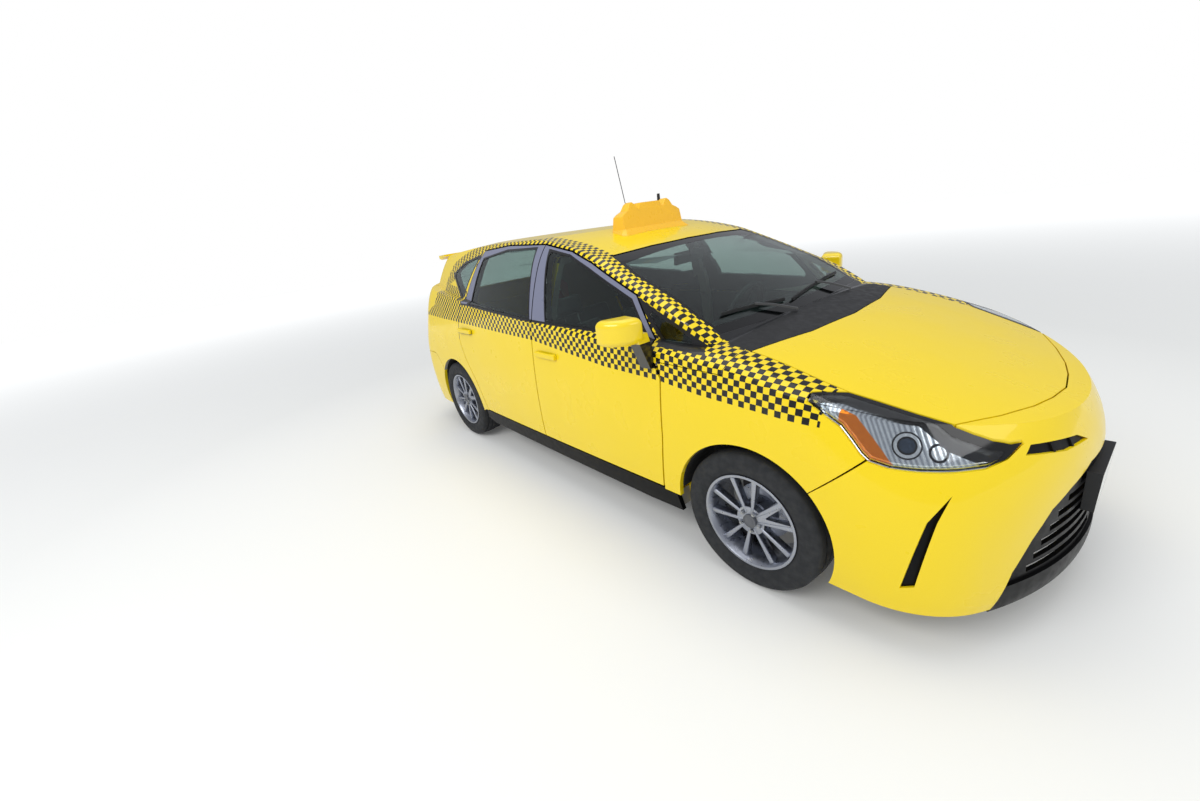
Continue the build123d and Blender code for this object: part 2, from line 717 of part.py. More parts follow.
shell_wall = shell_wall.solids().sort_by(SortBy.VOLUME)[-1]

ROCKER_TOP = DOOR_BOTTOM - DOOR_GAP
ROCKER_LOW = 236.0
BULKHEAD_X = 985.0
MIDDLE_POST_X = (-110.0, -40.0)
FRONT_POST_X = (967.0, 1003.0)
REAR_POST_X = (-1010.0, -940.0)
BOW_Y = (430.0, 540.0)
door_zone = box((-1100, 0, 200), (1100, HALF_SPAN, 1700))
post_ring = cut(common(post_outer, door_zone), post_inner)
seat_ring = cut(common(skin_seat, door_zone), post_inner)
rocker = common(seat_ring, box((REAR_POST_X[0], 500, ROCKER_LOW), (BULKHEAD_X, HALF_SPAN, ROCKER_TOP)))
middle_post = common(post_ring, box((MIDDLE_POST_X[0], BOW_Y[0], ROCKER_LOW), (MIDDLE_POST_X[1], HALF_SPAN, 1700)))
front_post = common(post_ring, box((FRONT_POST_X[0], 300, ROCKER_LOW), (FRONT_POST_X[1], HALF_SPAN, 975)))
rear_post = common(post_ring, box((REAR_POST_X[0], 300, ROCKER_LOW), (REAR_POST_X[1], HALF_SPAN, 420)))
roof_bow = common(seat_ring, box((MIDDLE_POST_X[0], BOW_Y[0], 1380), (MIDDLE_POST_X[1], BOW_Y[1], 1700)))
pillar_tie = common(seat_ring, box((950, 300, 940), (1003, HALF_SPAN, 990)))

SHELF_Z = 722.0
COWL_X = 1372.0
PLATE = 18.0
bulkhead_points = (
    (BULKHEAD_X, 240), (BULKHEAD_X, SHELF_Z), (COWL_X, SHELF_Z), (COWL_X, 985), (COWL_X - PLATE, 985),
    (COWL_X - PLATE, SHELF_Z + PLATE), (BULKHEAD_X - PLATE, SHELF_Z + PLATE), (BULKHEAD_X - PLATE, 240),
)
bulkhead = common(post_outer, side_block(bulkhead_points, 0.0, HALF_SPAN))
RAIL_Y = (385.0, 455.0)
RAIL_Z = (400.0, 520.0)
rail = box((BULKHEAD_X - 5, RAIL_Y[0], RAIL_Z[0]), (2080, RAIL_Y[1], RAIL_Z[1]))
bumper_beam = box((2080, 0, 400), (2130, 560, 520))
rear_rail = box((-2230, 420, 330), (-1000, 490, 420))
cross_rear = box((-2230, 0, 330), (-2180, 490, 420))
tail_seat = body_form(WALL_LOW + SEAT_GAP, WALL_HIGH + SEAT_GAP)
sill_tie = box((-1040, 420, 240), (-990, 760, 420))
striker_panel = common(tail_seat, box((-2300, 0, 330), (-2200, 490, TAILGATE_LOW + 50)))
frame_left = fuse(
    rocker, middle_post, front_post, rear_post, pillar_tie, roof_bow, bulkhead, rail, bumper_beam, rear_rail,
    cross_rear, sill_tie, striker_panel,
)
body_shell = both_sides(fuse(shell_wall, frame_left))
save("body_shell", body_shell)

# Sill covers
SILL_SIDE = ((-1000, 262), (-985, ROCKER_TOP - 1), (908, ROCKER_TOP - 1), (908, 318), (985, 318), (1004, 230), (800, 222), (-900, 232))
sill_space = box((-1100, 300, 150), (1100, HALF_SPAN, 500))
sill_cover = cut(common(skin, sill_space, side_block(SILL_SIDE, 300.0, HALF_SPAN)), ARCH_FRONT, ARCH_REAR)
save("sill_covers", both_sides(sill_cover))

# Floor, underside and inner arches
FLOOR_FRONT = FRONT_POST_X[0] - SEAT_GAP
FLOOR_TOP = ((FLOOR_FRONT, 262), (-560, 262), (-640, 350), (-985, 350), (-1070, 450), (-2170, 450))
FLOOR_PLATE = 20.0
floor_points = list(FLOOR_TOP) + [(x, z - FLOOR_PLATE) for x, z in reversed(FLOOR_TOP)]
floor_space = fuse(box((-985, -HALF_SPAN, 0), (1000, HALF_SPAN, 500)), box((-2300, -640, 0), (-985, 640, 500)))
floor_sheet = common(core, side_block(floor_points), floor_space)
TUNNEL = box((-560, -110, 262), (FLOOR_FRONT, 110, 340))
TUNNEL_HOLLOW = box((-600, -90, 200), (1000, 90, 322))
FRAME_CLEARANCE = 0.3
frame_room = [
    box((-2231, s - 36, 300), (-985, s + 36, 420 + FRAME_CLEARANCE)) for s in (-455, 455)
] + [box((-1041, s - 181, 200), (-985, s + 181, 420 + FRAME_CLEARANCE)) for s in (-600, 600)]
floor_pan = cut(fuse(floor_sheet, TUNNEL), TUNNEL_HOLLOW, *frame_room)
save("floor_pan", floor_pan)


def arch_liner(x, inner_y):
    """Half-round shell over a wheel with an inner wall."""
    shell_r = ARCH_RADIUS - SEAT_GAP
    liner_wall = 5.0
    drum = wheel_cylinder(x, inner_y, HALF_SPAN, TYRE_RADIUS, shell_r)
    hollow = wheel_cylinder(x, inner_y + liner_wall, HALF_SPAN, TYRE_RADIUS, shell_r - liner_wall)
    top = box((x - 500, 0, TYRE_RADIUS + 40), (x + 500, 1000, 1000))
    return common(cut(drum, hollow), top, skin_seat)


save("arch_liners", both_sides(fuse(arch_liner(FRONT_AXLE_X, 468.0), arch_liner(REAR_AXLE_X, 642.0))))

with BuildPart() as fuel_tank:
    with Locations((-805, 0, 284.7)):
        Box(300, 900, 90)
    fillet(fuel_tank.edges().filter_by(Axis.Z), 40)
save("fuel_tank", fuel_tank.part)

with BuildPart() as engine_block:
    with Locations((1440, 0, 500)):
        Box(640, 580, 390)
    fillet(engine_block.edges().filter_by(Axis.Y), 30)
save("engine_block", engine_block.part)

ARM_Z = 210.0
with BuildPart() as front_subframe:
    with Locations((1250, 0, 245)):
        Box(190, 760, 60)
    with Locations((1560, 0, 245)):
        Box(70, 760, 60)
    for s in (-1, 1):
        with Locations((1410, s * 345, 245)):
            Box(380, 70, 60)
        with Locations((FRONT_AXLE_X, s * 520, ARM_Z + 14)):
            Box(56, 290, 22)
        with Locations((1250, s * 355.3, 329.7)):
            Box(60, 130, 140)
save("front_subframe", front_subframe.part)

BEAM_X = -1230.0
with BuildPart() as rear_axle_beam:
    with Locations((BEAM_X, 0, 298)):
        Box(90, 1180, 56)
    for s in (-1, 1):
        with Locations((-1235.2, s * 590, 310)):
            Box(389.8, 50, 70)
        with Locations((REAR_AXLE_X, s * 610, TYRE_RADIUS)):
            Box(110, 60, 110)
        with BuildSketch(Plane.XZ.offset(-s * 630)):
            with Locations((REAR_AXLE_X, TYRE_RADIUS)):
                Circle(HUB_BORE - AXLE_CLEARANCE)
        extrude(amount=-s * (WHEEL_Y - 630 - 10))
        with BuildSketch(Plane.XY.offset(340)):
            with Locations((REAR_AXLE_X, s * 570)):
                Circle(34)
        extrude(amount=89.7)
save("rear_axle_beam", rear_axle_beam.part)

with BuildPart() as exhaust:
    with BuildLine() as route:
        FilletPolyline((940, 0, 215), (700, 0, 190), (-1300, 0, 190), (-1620, -150, 300), (-1750, -200, 300), radius=120)
    with BuildSketch(Plane(origin=route.line @ 0, z_dir=route.line % 0)):
        Circle(25)
    sweep()
    with Locations((-1900, -230, 290)):
        Box(380, 330, 130)
    with BuildSketch(Plane.YZ.offset(-2235)):
        with Locations((-330, 262)):
            Circle(24)
    extrude(amount=165)
    with Locations((-1820, -230, 391.7), (-1990, -230, 391.7)):
        Box(14, 40, 76)
    with Locations((100, 0, 267.7)):
        Box(14, 40, 108)
save("exhaust", exhaust.part)

# Knuckles, hubs, tyres and wheels
with BuildPart() as knuckle:
    with BuildSketch(Plane.XZ.offset(-612)):
        with Locations((FRONT_AXLE_X, TYRE_RADIUS)):
            Circle(52)
    extrude(amount=-52)
    with BuildSketch(Plane.XZ.offset(-640)):
        with Locations((FRONT_AXLE_X, TYRE_RADIUS)):
            Circle(HUB_BORE - AXLE_CLEARANCE)
    extrude(amount=-(WHEEL_Y - 650))
    with Locations((FRONT_AXLE_X, 640, TYRE_RADIUS + 90)):
        Box(50, 40, 130)
    with Locations((FRONT_AXLE_X, 640, 267.8)):
        Box(50, 50, 65)
    with Locations((FRONT_AXLE_X - 110, 664, TYRE_RADIUS + 40)):
        Box(70, 26, 110)
    with Locations((FRONT_AXLE_X - 60, 640, TYRE_RADIUS + 40)):
        Box(90, 30, 40)
save("knuckle_left", knuckle.part)
save("knuckle_right", flipped(knuckle.part))

with BuildPart() as tyre:
    with BuildSketch(Plane.YZ.offset(0)) as section:
        with BuildLine():
            half = TYRE_WIDTH / 2
            shoulder = TYRE_RADIUS - 34
            Line((-half + 18, TYRE_RADIUS - 6), (0, TYRE_RADIUS))
            Line((0, TYRE_RADIUS), (half - 18, TYRE_RADIUS - 6))
            ThreePointArc((half - 18, TYRE_RADIUS - 6), (half - 6, TYRE_RADIUS - 16), (half - 1, shoulder))
            ThreePointArc((half - 1, shoulder), (half, 262), (RIM_WIDTH / 2 - 2, RIM_LIP_RADIUS - 2))
            Line((RIM_WIDTH / 2 - 2, RIM_LIP_RADIUS - 2), (-RIM_WIDTH / 2 + 2, RIM_LIP_RADIUS - 2))
            ThreePointArc((-RIM_WIDTH / 2 + 2, RIM_LIP_RADIUS - 2), (-half, 262), (-half + 1, shoulder))
            ThreePointArc((-half + 1, shoulder), (-half + 6, TYRE_RADIUS - 16), (-half + 18, TYRE_RADIUS - 6))
        make_face()
        with Locations((0, RIM_LIP_RADIUS + 10)):
            Rectangle(RIM_WIDTH - 20, 60, mode=Mode.SUBTRACT)
    revolve(axis=Axis.Y)

with BuildPart() as wheel:
    with BuildSketch(Plane.YZ) as barrel:
        with BuildLine():
            half = RIM_WIDTH / 2
            lip = RIM_LIP_RADIUS - 2 - SEAT_GAP
            well = lip - 16
            Polyline(
                (-half - 5, lip + 6), (-half, lip), (half, lip), (half + 5, lip + 6), (half + 8, lip + 5), (half + 8, lip - 6),
                (half - 12, well), (half - 50, well - 12), (-half + 14, well - 12), (-half - 8, lip - 6), (-half - 8, lip + 5),
                close=True,
            )
        make_face()
    revolve(axis=Axis.Y)
    with BuildSketch(Plane.XZ.offset(-(RIM_WIDTH / 2 - 12))):
        Circle(HUB_RADIUS)
        with PolarLocations(0, SPOKE_PAIRS, 90):
            # the outline is drawn at the first place alone, so the solid carries one pair of spokes
            with BuildLine():
                Polyline(*SPOKE_PAIR, close=True)
            make_face()
    extrude(amount=34)
    with BuildSketch(Plane.XZ.offset(-(RIM_WIDTH / 2 - 46))):
        Circle(74)
    extrude(amount=80)
    with BuildSketch(Plane.XZ.offset(26)):
        Circle(DISC_RADIUS)
    extrude(amount=DISC_THICKNESS)
    with BuildSketch(Plane.XZ.offset(-(RIM_WIDTH / 2 - 40))):
        Circle(HUB_BORE)
    extrude(amount=200, mode=Mode.SUBTRACT)

for corner, x, turn in (
    ("front_left", FRONT_AXLE_X, None),
    ("front_right", FRONT_AXLE_X, flipped),
    ("rear_left", REAR_AXLE_X, None),
    ("rear_right", REAR_AXLE_X, flipped),
):
    for name, source in (("tyre", tyre), ("wheel", wheel)):
        piece = source.part.moved(Location((x, WHEEL_Y, TYRE_RADIUS)))
        save(f"{name}_{corner}", turn(piece) if turn else piece)

# Mirrors
MIRROR_Z = (1078.0, 1196.0)
MIRROR_CORNER = 12.0
MIRROR_ROUND = 30.0
MIRROR_FOOT = ((800, 950), (880, 950), (935, 1085), (945, 1120), (880, 1120), (850, 1020), (800, 1010))
MIRROR_PLAN = ((905, 905), (880, 990), (748, 1046), (736, 1010), (790, 885))
door_space = box((700, 700, 850), (1000, HALF_SPAN, 1250))
with BuildPart() as mirror_cap:
    with BuildSketch(Plane.XY.offset(MIRROR_Z[0])) as mirror_outline:
        with BuildLine():
            ThreePointArc(*MIRROR_PLAN[:3])
            Polyline(*MIRROR_PLAN[2:], MIRROR_PLAN[0])
        make_face()
        fillet(mirror_outline.vertices(), MIRROR_CORNER)
    extrude(amount=MIRROR_Z[1] - MIRROR_Z[0])
    fillet(mirror_cap.edges().group_by(Axis.Z)[0] + mirror_cap.edges().group_by(Axis.Z)[-1], MIRROR_ROUND)
    add(front_block(MIRROR_FOOT, 836, 900))
door_mirror = cut(mirror_cap.part, common(outer, door_space)).moved(Location((0, SEAT_GAP, 0)))
save("door_mirror_left", door_mirror)
save("door_mirror_right", flipped(door_mirror))

# Roof sign: a flared foot and a wedge whose front outline has a plateau between two domes
SIGN_X = 108.0
SIGN_HALF = (
    (262, 1480), (256, 1600), (232, 1616), (198, 1630), (176, 1664), (155, 1676), (136, 1664), (112, 1633), (98, 1636),
    (84, 1664), (76, 1668),
)
SIGN_FRONT = SIGN_HALF + tuple((-y, z) for y, z in reversed(SIGN_HALF))
SIGN_WEDGE = ((SIGN_X - 62, 1480), (SIGN_X + 62, 1480), (SIGN_X + 26, 1676), (SIGN_X - 26, 1676))
with BuildPart() as roof_sign:
    with BuildSketch(Plane.XY.offset(1470)):
        with Locations((SIGN_X, 0)):
            RectangleRounded(230, 660, 50)
    with BuildSketch(Plane.XY.offset(1530)):
        with Locations((SIGN_X, 0)):
            RectangleRounded(112, 520, 20)
    loft()
    add(common(front_block(SIGN_FRONT, SIGN_X - 80, SIGN_X + 80), side_block(SIGN_WEDGE)))
roof_space = box((-2000, -500, 1400), (600, 500, 1620))
roof_solid = common(outer, roof_space)
save("roof_sign", cut(roof_sign.part, roof_solid).moved(Location((0, 0, SEAT_GAP))))

# Whip aerial on a puck and a short stub aerial, both behind the sign
WHIP_FOOT = (-58.0, 0.0, 1540.0)
WHIP_TIP = (-142.0, 0.0, 1966.0)
STUB = (0.0, 228.0)
with BuildPart() as aerial:
    add(rod(WHIP_FOOT, WHIP_TIP, 2.4))
    with BuildSketch(Plane.XY.offset(1500)):
        with Locations(WHIP_FOOT[:2]):
            Circle(20)
    extrude(amount=62, taper=8)
    with BuildSketch(Plane.XY.offset(1490)):
        with Locations(STUB):
            Circle(17)
    extrude(amount=222, taper=2)
aerials = cut(aerial.part, roof_solid).moved(Location((0, 0, SEAT_GAP)))
save("roof_aerial", aerials)

# Cabin: dashboard, seats, mirror and steering wheel
dash_points = ((1340, 800), (1340, 985), (1180, 1000), (700, 985), (640, 930), (655, 740), (760, 560), (960, 560), (960, 800))
dashboard = common(core, side_block(dash_points))
WHEEL_CENTRE = (545.0, 360.0, 935.0)
COLUMN_TILT = 25.0
column_dir = (-cos(radians(COLUMN_TILT)), 0.0, sin(radians(COLUMN_TILT)))
column_start = tuple(c - 190 * d for c, d in zip(WHEEL_CENTRE, column_dir))
column_end = tuple(c - 36.3 * d for c, d in zip(WHEEL_CENTRE, column_dir))
dashboard = fuse(dashboard, rod(column_start, column_end, 30))
save("dashboard", dashboard)

with BuildPart() as steering_wheel:
    plane = Plane(origin=WHEEL_CENTRE, x_dir=(0, 1, 0), z_dir=column_dir)
    with BuildSketch(plane):
        Circle(58)
    extrude(amount=-36)
    with BuildSketch(plane.offset(-2)):
        Rectangle(350, 36)
        with Locations((0, -88)):
            Rectangle(36, 176)
    extrude(amount=-12)
    with BuildSketch(Plane(origin=WHEEL_CENTRE, x_dir=(0, 1, 0), z_dir=Vector(*column_dir).cross(Vector(0, 1, 0)))):
        with Locations((180, 0)):
            Circle(15)
    revolve(axis=Axis(WHEEL_CENTRE, column_dir))
save("steering_wheel", steering_wheel.part)


def seat_cushion(x0, x1, y, width, z0, z1):
    """Seat cushion block with eased edges."""
    with BuildPart() as cushion:
        with Locations(((x0 + x1) / 2, y, (z0 + z1) / 2)):
            Box(x1 - x0, width, z1 - z0)
        fillet(cushion.edges(), 28)
    return cushion.part


def seat_back(x, y, width, z0, height, lean, thickness):
    """Leaning backrest block with a headrest above it."""
    plane = Plane(origin=(x, y, z0), x_dir=(0, 1, 0), z_dir=(-sin(radians(lean)), 0, cos(radians(lean))))
    with BuildPart() as back:
        with BuildSketch(plane):
            RectangleRounded(width, thickness, 28)
        extrude(amount=height)
        with BuildSketch(plane.offset(height)):
            with Locations((-60, 0), (60, 0)):
                Circle(7)
        extrude(amount=60)
        with BuildSketch(plane.offset(height + 50)):
            RectangleRounded(240, 90, 30)
        extrude(amount=150)
    return back.part


SEAT_Y = 350.0
SEAT_BASE_TOP = 344.0
front_seats = []
for s in (-1, 1):
    front_seats.append(seat_cushion(-160, 370, s * SEAT_Y, 490, SEAT_BASE_TOP + SEAT_GAP, 500))
    front_seats.append(seat_back(-212.6, s * SEAT_Y, 480, 440, 530, 18, 110))
save("front_seat_cushions", fuse(front_seats[0], front_seats[2]))
save("front_seat_backs", fuse(front_seats[1], front_seats[3]))
with BuildPart() as seat_bases:
    for s in (-1, 1):
        with Locations((110, s * SEAT_Y, SEAT_BASE_TOP)):
            Box(420, 340, 82, align=(Align.CENTER, Align.CENTER, Align.MAX))
save("front_seat_bases", seat_bases.part)
save("rear_seat_cushion", seat_cushion(-930, -420, 0, 1240, 350 + SEAT_GAP, 500))
save("rear_seat_back", seat_back(-970.2, 0, 1200, 473.9, 440, 22, 110))

with BuildPart() as interior_mirror:
    with Locations((420, 0, 1330)):
        Box(26, 250, 62)
    fillet(interior_mirror.edges(), 10)
    with BuildSketch(Plane(origin=(425, 0, 1345), z_dir=(0.45, 0, 1))):
        Circle(11)
    extrude(amount=90)
mirror_space = box((300, -200, 1200), (600, 200, 1500))
save("interior_mirror", common(interior_mirror.part, common(glass_inner, mirror_space)).moved(Location((-SEAT_GAP, 0, 0))))

# Blank number plates: the front one on the grille, the rear one on the tailgate
PLATE_SIZE = (305.0, 155.0)
PLATE_THICKNESS = 12.0
FRONT_PLATE = (2322.0, 480.0)
REAR_PLATE = (-2292.0, 862.0)
REAR_PLATE_LEAN = 14.0
BOLT_PITCH = 178.0
BOLT_HOLE = 3.5
BOLT_RISE = 62.0
front_face = common(layer_inner, box((2200, -200, 300), (2400, 200, 700)))
with BuildPart() as front_plate:
    with Locations((FRONT_PLATE[0], 0, FRONT_PLATE[1])):
        Box(60, *PLATE_SIZE, align=(Align.MAX, Align.CENTER, Align.CENTER))
    with BuildSketch(Plane.YZ.offset(FRONT_PLATE[0])):
        with Locations((-BOLT_PITCH / 2, FRONT_PLATE[1] + BOLT_RISE), (BOLT_PITCH / 2, FRONT_PLATE[1] + BOLT_RISE)):
            Circle(BOLT_HOLE)
    extrude(amount=-PLATE_THICKNESS, mode=Mode.SUBTRACT)
save("front_plate", cut(front_plate.part, front_face).moved(Location((SEAT_GAP, 0, 0))))

lean = radians(REAR_PLATE_LEAN)
rear_plane = Plane(origin=(REAR_PLATE[0], 0, REAR_PLATE[1]), x_dir=(0, -1, 0), z_dir=(-cos(lean), 0, sin(lean)))
with BuildPart() as rear_plate:
    with BuildSketch(rear_plane):
        Rectangle(*PLATE_SIZE)
    extrude(amount=-50)
    with BuildSketch(rear_plane):
        with Locations((-BOLT_PITCH / 2, BOLT_RISE), (BOLT_PITCH / 2, BOLT_RISE)):
            Circle(BOLT_HOLE)
    extrude(amount=-PLATE_THICKNESS, mode=Mode.SUBTRACT)
plate_back = cut(rear_plate.part, tail_side)
save("rear_plate", plate_back.moved(Location((-SEAT_GAP, 0, 0))))
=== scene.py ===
# %% [markdown]
# # Taxi cab
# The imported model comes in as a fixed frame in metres: +X is forward, +Y is left, +Z is up. This script
# gives every panel its finish and adds the pieces that are too fine for the solids.

# %% Load the frame
import math
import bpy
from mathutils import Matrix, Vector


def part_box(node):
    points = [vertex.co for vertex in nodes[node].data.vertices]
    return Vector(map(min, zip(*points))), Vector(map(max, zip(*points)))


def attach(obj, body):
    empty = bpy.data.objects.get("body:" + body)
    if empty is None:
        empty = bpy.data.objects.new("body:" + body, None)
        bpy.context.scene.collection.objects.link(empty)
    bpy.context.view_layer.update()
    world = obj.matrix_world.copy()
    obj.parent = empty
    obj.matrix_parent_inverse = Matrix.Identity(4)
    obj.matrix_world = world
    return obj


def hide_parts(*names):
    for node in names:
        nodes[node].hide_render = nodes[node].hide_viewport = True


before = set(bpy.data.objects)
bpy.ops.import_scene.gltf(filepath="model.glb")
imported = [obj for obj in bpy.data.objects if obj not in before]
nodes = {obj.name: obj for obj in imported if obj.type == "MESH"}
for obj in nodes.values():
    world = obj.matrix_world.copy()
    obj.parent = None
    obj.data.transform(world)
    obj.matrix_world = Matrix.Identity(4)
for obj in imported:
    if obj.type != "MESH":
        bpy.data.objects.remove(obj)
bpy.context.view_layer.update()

from types import SimpleNamespace

import bpy
from mathutils import Matrix, Vector

scene = bpy.context.scene
mesh = bpy.ops.mesh


def placed(name, data):
    """A new object in the scene."""
    item = bpy.data.objects.new(name, data)
    scene.collection.objects.link(item)
    return item


# %% [markdown]
# ## Camera
# The photograph's own view: a very wide lens close to the car, level with the roof.

# %% Camera
LENS = 14.355
CAMERA_PLACE = (2.3848282, -2.3266760, 1.6125418)
CAMERA_TURN = (1.8493686, 0.7546678, -0.6986133)
camera_data = bpy.data.cameras.new("camera")
camera = placed("camera", camera_data)
scene.camera = camera
camera_data.sensor_width = 36.0
camera_data.lens = LENS
camera_data.clip_end = 200.0
turn = Vector(CAMERA_TURN)
to_camera = Matrix.Rotation(turn.length, 3, turn.normalized())
right, down, forward = to_camera.row[0], to_camera.row[1], to_camera.row[2]
axes = Matrix((right, -down, -forward)).transposed()
camera.matrix_world = Matrix.Translation(CAMERA_PLACE) @ axes.to_4x4()
print("camera looks along", tuple(round(v, 3) for v in forward))

# %% [markdown]
# ## Small helpers
# A finish is a material whose colours and grain are worked out from a point's place on the car. Colours are
# written as they look on a screen and made linear in one place. Every node of every finish is added by the
# same small function: it takes the kind of node, fills its sockets in order, and gives back one output, so
# a finish reads like a sum.

# %% Colour and node helpers
COAT_ROUGHNESS = 0.03


def colour(hex_code):
    """Linear colour of a screen colour such as F2C811."""
    values = [int(hex_code[i:i + 2], 16) / 255 for i in (0, 2, 4)]
    return tuple(v / 12.92 if v <= 0.04045 else ((v + 0.055) / 1.055) ** 2.4 for v in values) + (1.0,)


class Tree:
    """A tree of nodes, and one way to add to it."""

    def __init__(self, tree):
        self.tree = tree

    def fill(self, socket, value):
        """Put a number, a hex colour or another node's output into a socket; None leaves it as it is."""
        if isinstance(value, str):
            socket.default_value = colour(value)
        elif isinstance(value, (int, float, tuple)):
            socket.default_value = value
        elif value is not None:
            self.tree.links.new(value, socket)

    def add(self, kind, *values, output=0, named=None, **settings):
        """Add a node, fill its sockets in order and by name, and give one output.

        The kind may carry an operation, and an operation alone in capitals is a Math node's.
        """
        if kind.isupper():
            kind = "Math " + kind
        kind, _, operation = kind.partition(" ")
        node = self.tree.nodes.new("ShaderNode" + kind)
        if operation:
            node.operation = operation
        for key, value in settings.items():
            setattr(node, key, value)
        for socket, value in zip(node.inputs, values):
            self.fill(socket, value)
        for key, value in (named or {}).items():
            self.fill(node.inputs[key], value)
        return node.outputs[output]


class Finish(Tree):
    """A new material with its shader's main values set."""

    def __init__(self, name, base, roughness=0.5, metallic=0.0, coat=0.0, shine=0.5):
        self.material = bpy.data.materials.new(name)
        self.material.use_nodes = True
        self.material.diffuse_color = colour(base)
        super().__init__(self.material.node_tree)
        self.shader = self.tree.nodes["Principled BSDF"]
        self.place = self.add("TexCoord", output="Object")
        for socket, value in (
            ("Base Color", base), ("Roughness", roughness), ("Metallic", metallic), ("Coat Weight", coat),
            ("Coat Roughness", COAT_ROUGHNESS), ("Specular IOR Level", shine),
        ):
            self.give(socket, value)

    def give(self, name, value):
        """Set or link one input of the material's own shader."""
        self.fill(self.shader.inputs[name], value)


print("yellow such as F2C811 is", [round(v, 3) for v in colour("F2C811")])

# %% [markdown]
# ## Where a point lies
# The pattern and the trims need more than x, y and z. They ask how far a point is from the car's middle,
# whether it faces outward, how high a line on the body runs at that place, and whether it lies inside the
# outline of a pane. A line on the body is a curve of height over length, and a convex pane is the common
# inside of its edges.

# %% Places on the car
# The tables run from -SPAN to SPAN
SPAN = 2.4
# The middle of a noise texture's values, which is stretched to the full range of a finish
NOISE = (0.35, 0.65)
# A sine's values
WAVE = (-1.0, 1.0)


def along(finish, x, points, column=1):
    """A column of a table read at a place in its first, such as a line's height along the car."""
    add = finish.add
    start = add("MULTIPLY_ADD", x, 0.5 / SPAN, 0.5)
    height = add("FloatCurve", None, start)
    mapping = height.node.mapping
    curve = mapping.curves[0]
    rows = [((p[0] + SPAN) / (2 * SPAN), p[column] / 2) for p in points]
    while len(curve.points) < len(rows):
        curve.points.new(0.5, 0.5)
    for point, row in zip(curve.points, rows):
        point.location = row
        point.handle_type = "VECTOR"
    mapping.update()
    return add("MULTIPLY", height, 2.0)


def sides(finish):
    """Where a point lies and how its surface faces: side is its distance from the car's middle."""
    x, y, z = finish.add("SeparateXYZ", finish.place).node.outputs
    facing = finish.add("SeparateXYZ", finish.add("TexCoord", output="Normal")).node.outputs
    outward = finish.add("MULTIPLY", facing["Y"], finish.add("SIGN", y))
    return SimpleNamespace(x=x, z=z, side=finish.add("ABSOLUTE", y), outward=outward, up=facing["Z"])


def around(finish, at, corners, margin):
    """1 inside a convex outline in side view, grown by a margin. Its corners go counterclockwise."""
    add = finish.add
    farthest = None
    for (ax, az), (bx, bz) in zip(corners, corners[1:] + corners[:1]):
        length = math.hypot(bx - ax, bz - az)
        out_x, out_z = (bz - az) / length, (ax - bx) / length
        partial = add("MULTIPLY_ADD", at.x, out_x, -(ax * out_x + az * out_z))
        distance = add("MULTIPLY_ADD", at.z, out_z, partial)
        farthest = distance if farthest is None else add("MAXIMUM", farthest, distance)
    return add("LESS_THAN", farthest, margin)


print("a line on the body is read over", 2 * SPAN, "m")

# %% [markdown]
# ## Taxi paint
# The real panels are sprayed steel, yellow under clear lacquer, with a band of one-inch black squares of
# thin film. A picture wrapped round the car would stretch at every corner and slide at every shut line. So
# the band is worked out from the place on the car: how far a point lies above the band's lower edge gives
# its row, and how far along the car it lies gives its column. Above the belt the rows count from the line
# over the side windows instead, so that the squares follow the roof rail and the windscreen pillar.

# %% Lines of the checker band
SQUARE = 0.0254
# Lower edge of the checker band: along the car, height
BAND_LOW = (
    (-2.40, 1.075), (-1.495, 1.020), (-0.109, 0.982), (0.553, 0.912), (0.931, 0.897), (1.151, 0.870),
    (1.655, 0.840), (2.40, 0.80),
)
# Upper side-window line: along the car, height, distance from the middle
RAIL_LINE = (
    (-2.40, 1.30, 0.70), (-1.70, 1.330, 0.70), (-1.526, 1.380, 0.69), (-1.291, 1.445, 0.66),
    (-0.982, 1.495, 0.635), (-0.645, 1.517, 0.62), (-0.215, 1.512, 0.62), (0.170, 1.473, 0.645),
    (0.487, 1.382, 0.685), (0.770, 1.264, 0.715), (1.219, 1.030, 0.72), (2.40, 0.40, 0.72),
)
# Outer limit of the pattern behind the rear quarter window: along the car, height
REAR_LIMIT = (
    (-2.40, 0.90), (-1.90, 1.04), (-1.72, 1.12), (-1.66, 1.30), (-1.50, 1.49), (-1.30, 1.70), (2.40, 1.80),
)
# The band rolls over the shoulder here, and its rows grow shallower inboard
SHOULDER = 0.845
SHOULDER_SHARE = 0.6
# Above this sloping line the squares follow the roof rail: height at the middle of the car, fall forward
UPPER_HEIGHT = 1.145
UPPER_FALL = -0.08
RAIL_ROWS = 4
# On the pillar the columns are longer and lean back
PILLAR_FOOT = 0.33
PILLAR_STRETCH = 0.18
PILLAR_LEAN = 0.4
PILLAR_START = 0.40
# The roof stays plain inboard of this, and the fender ahead of the lamp's rear corner
ROOF_EDGE = 0.50
LAMP_CORNER = 1.66


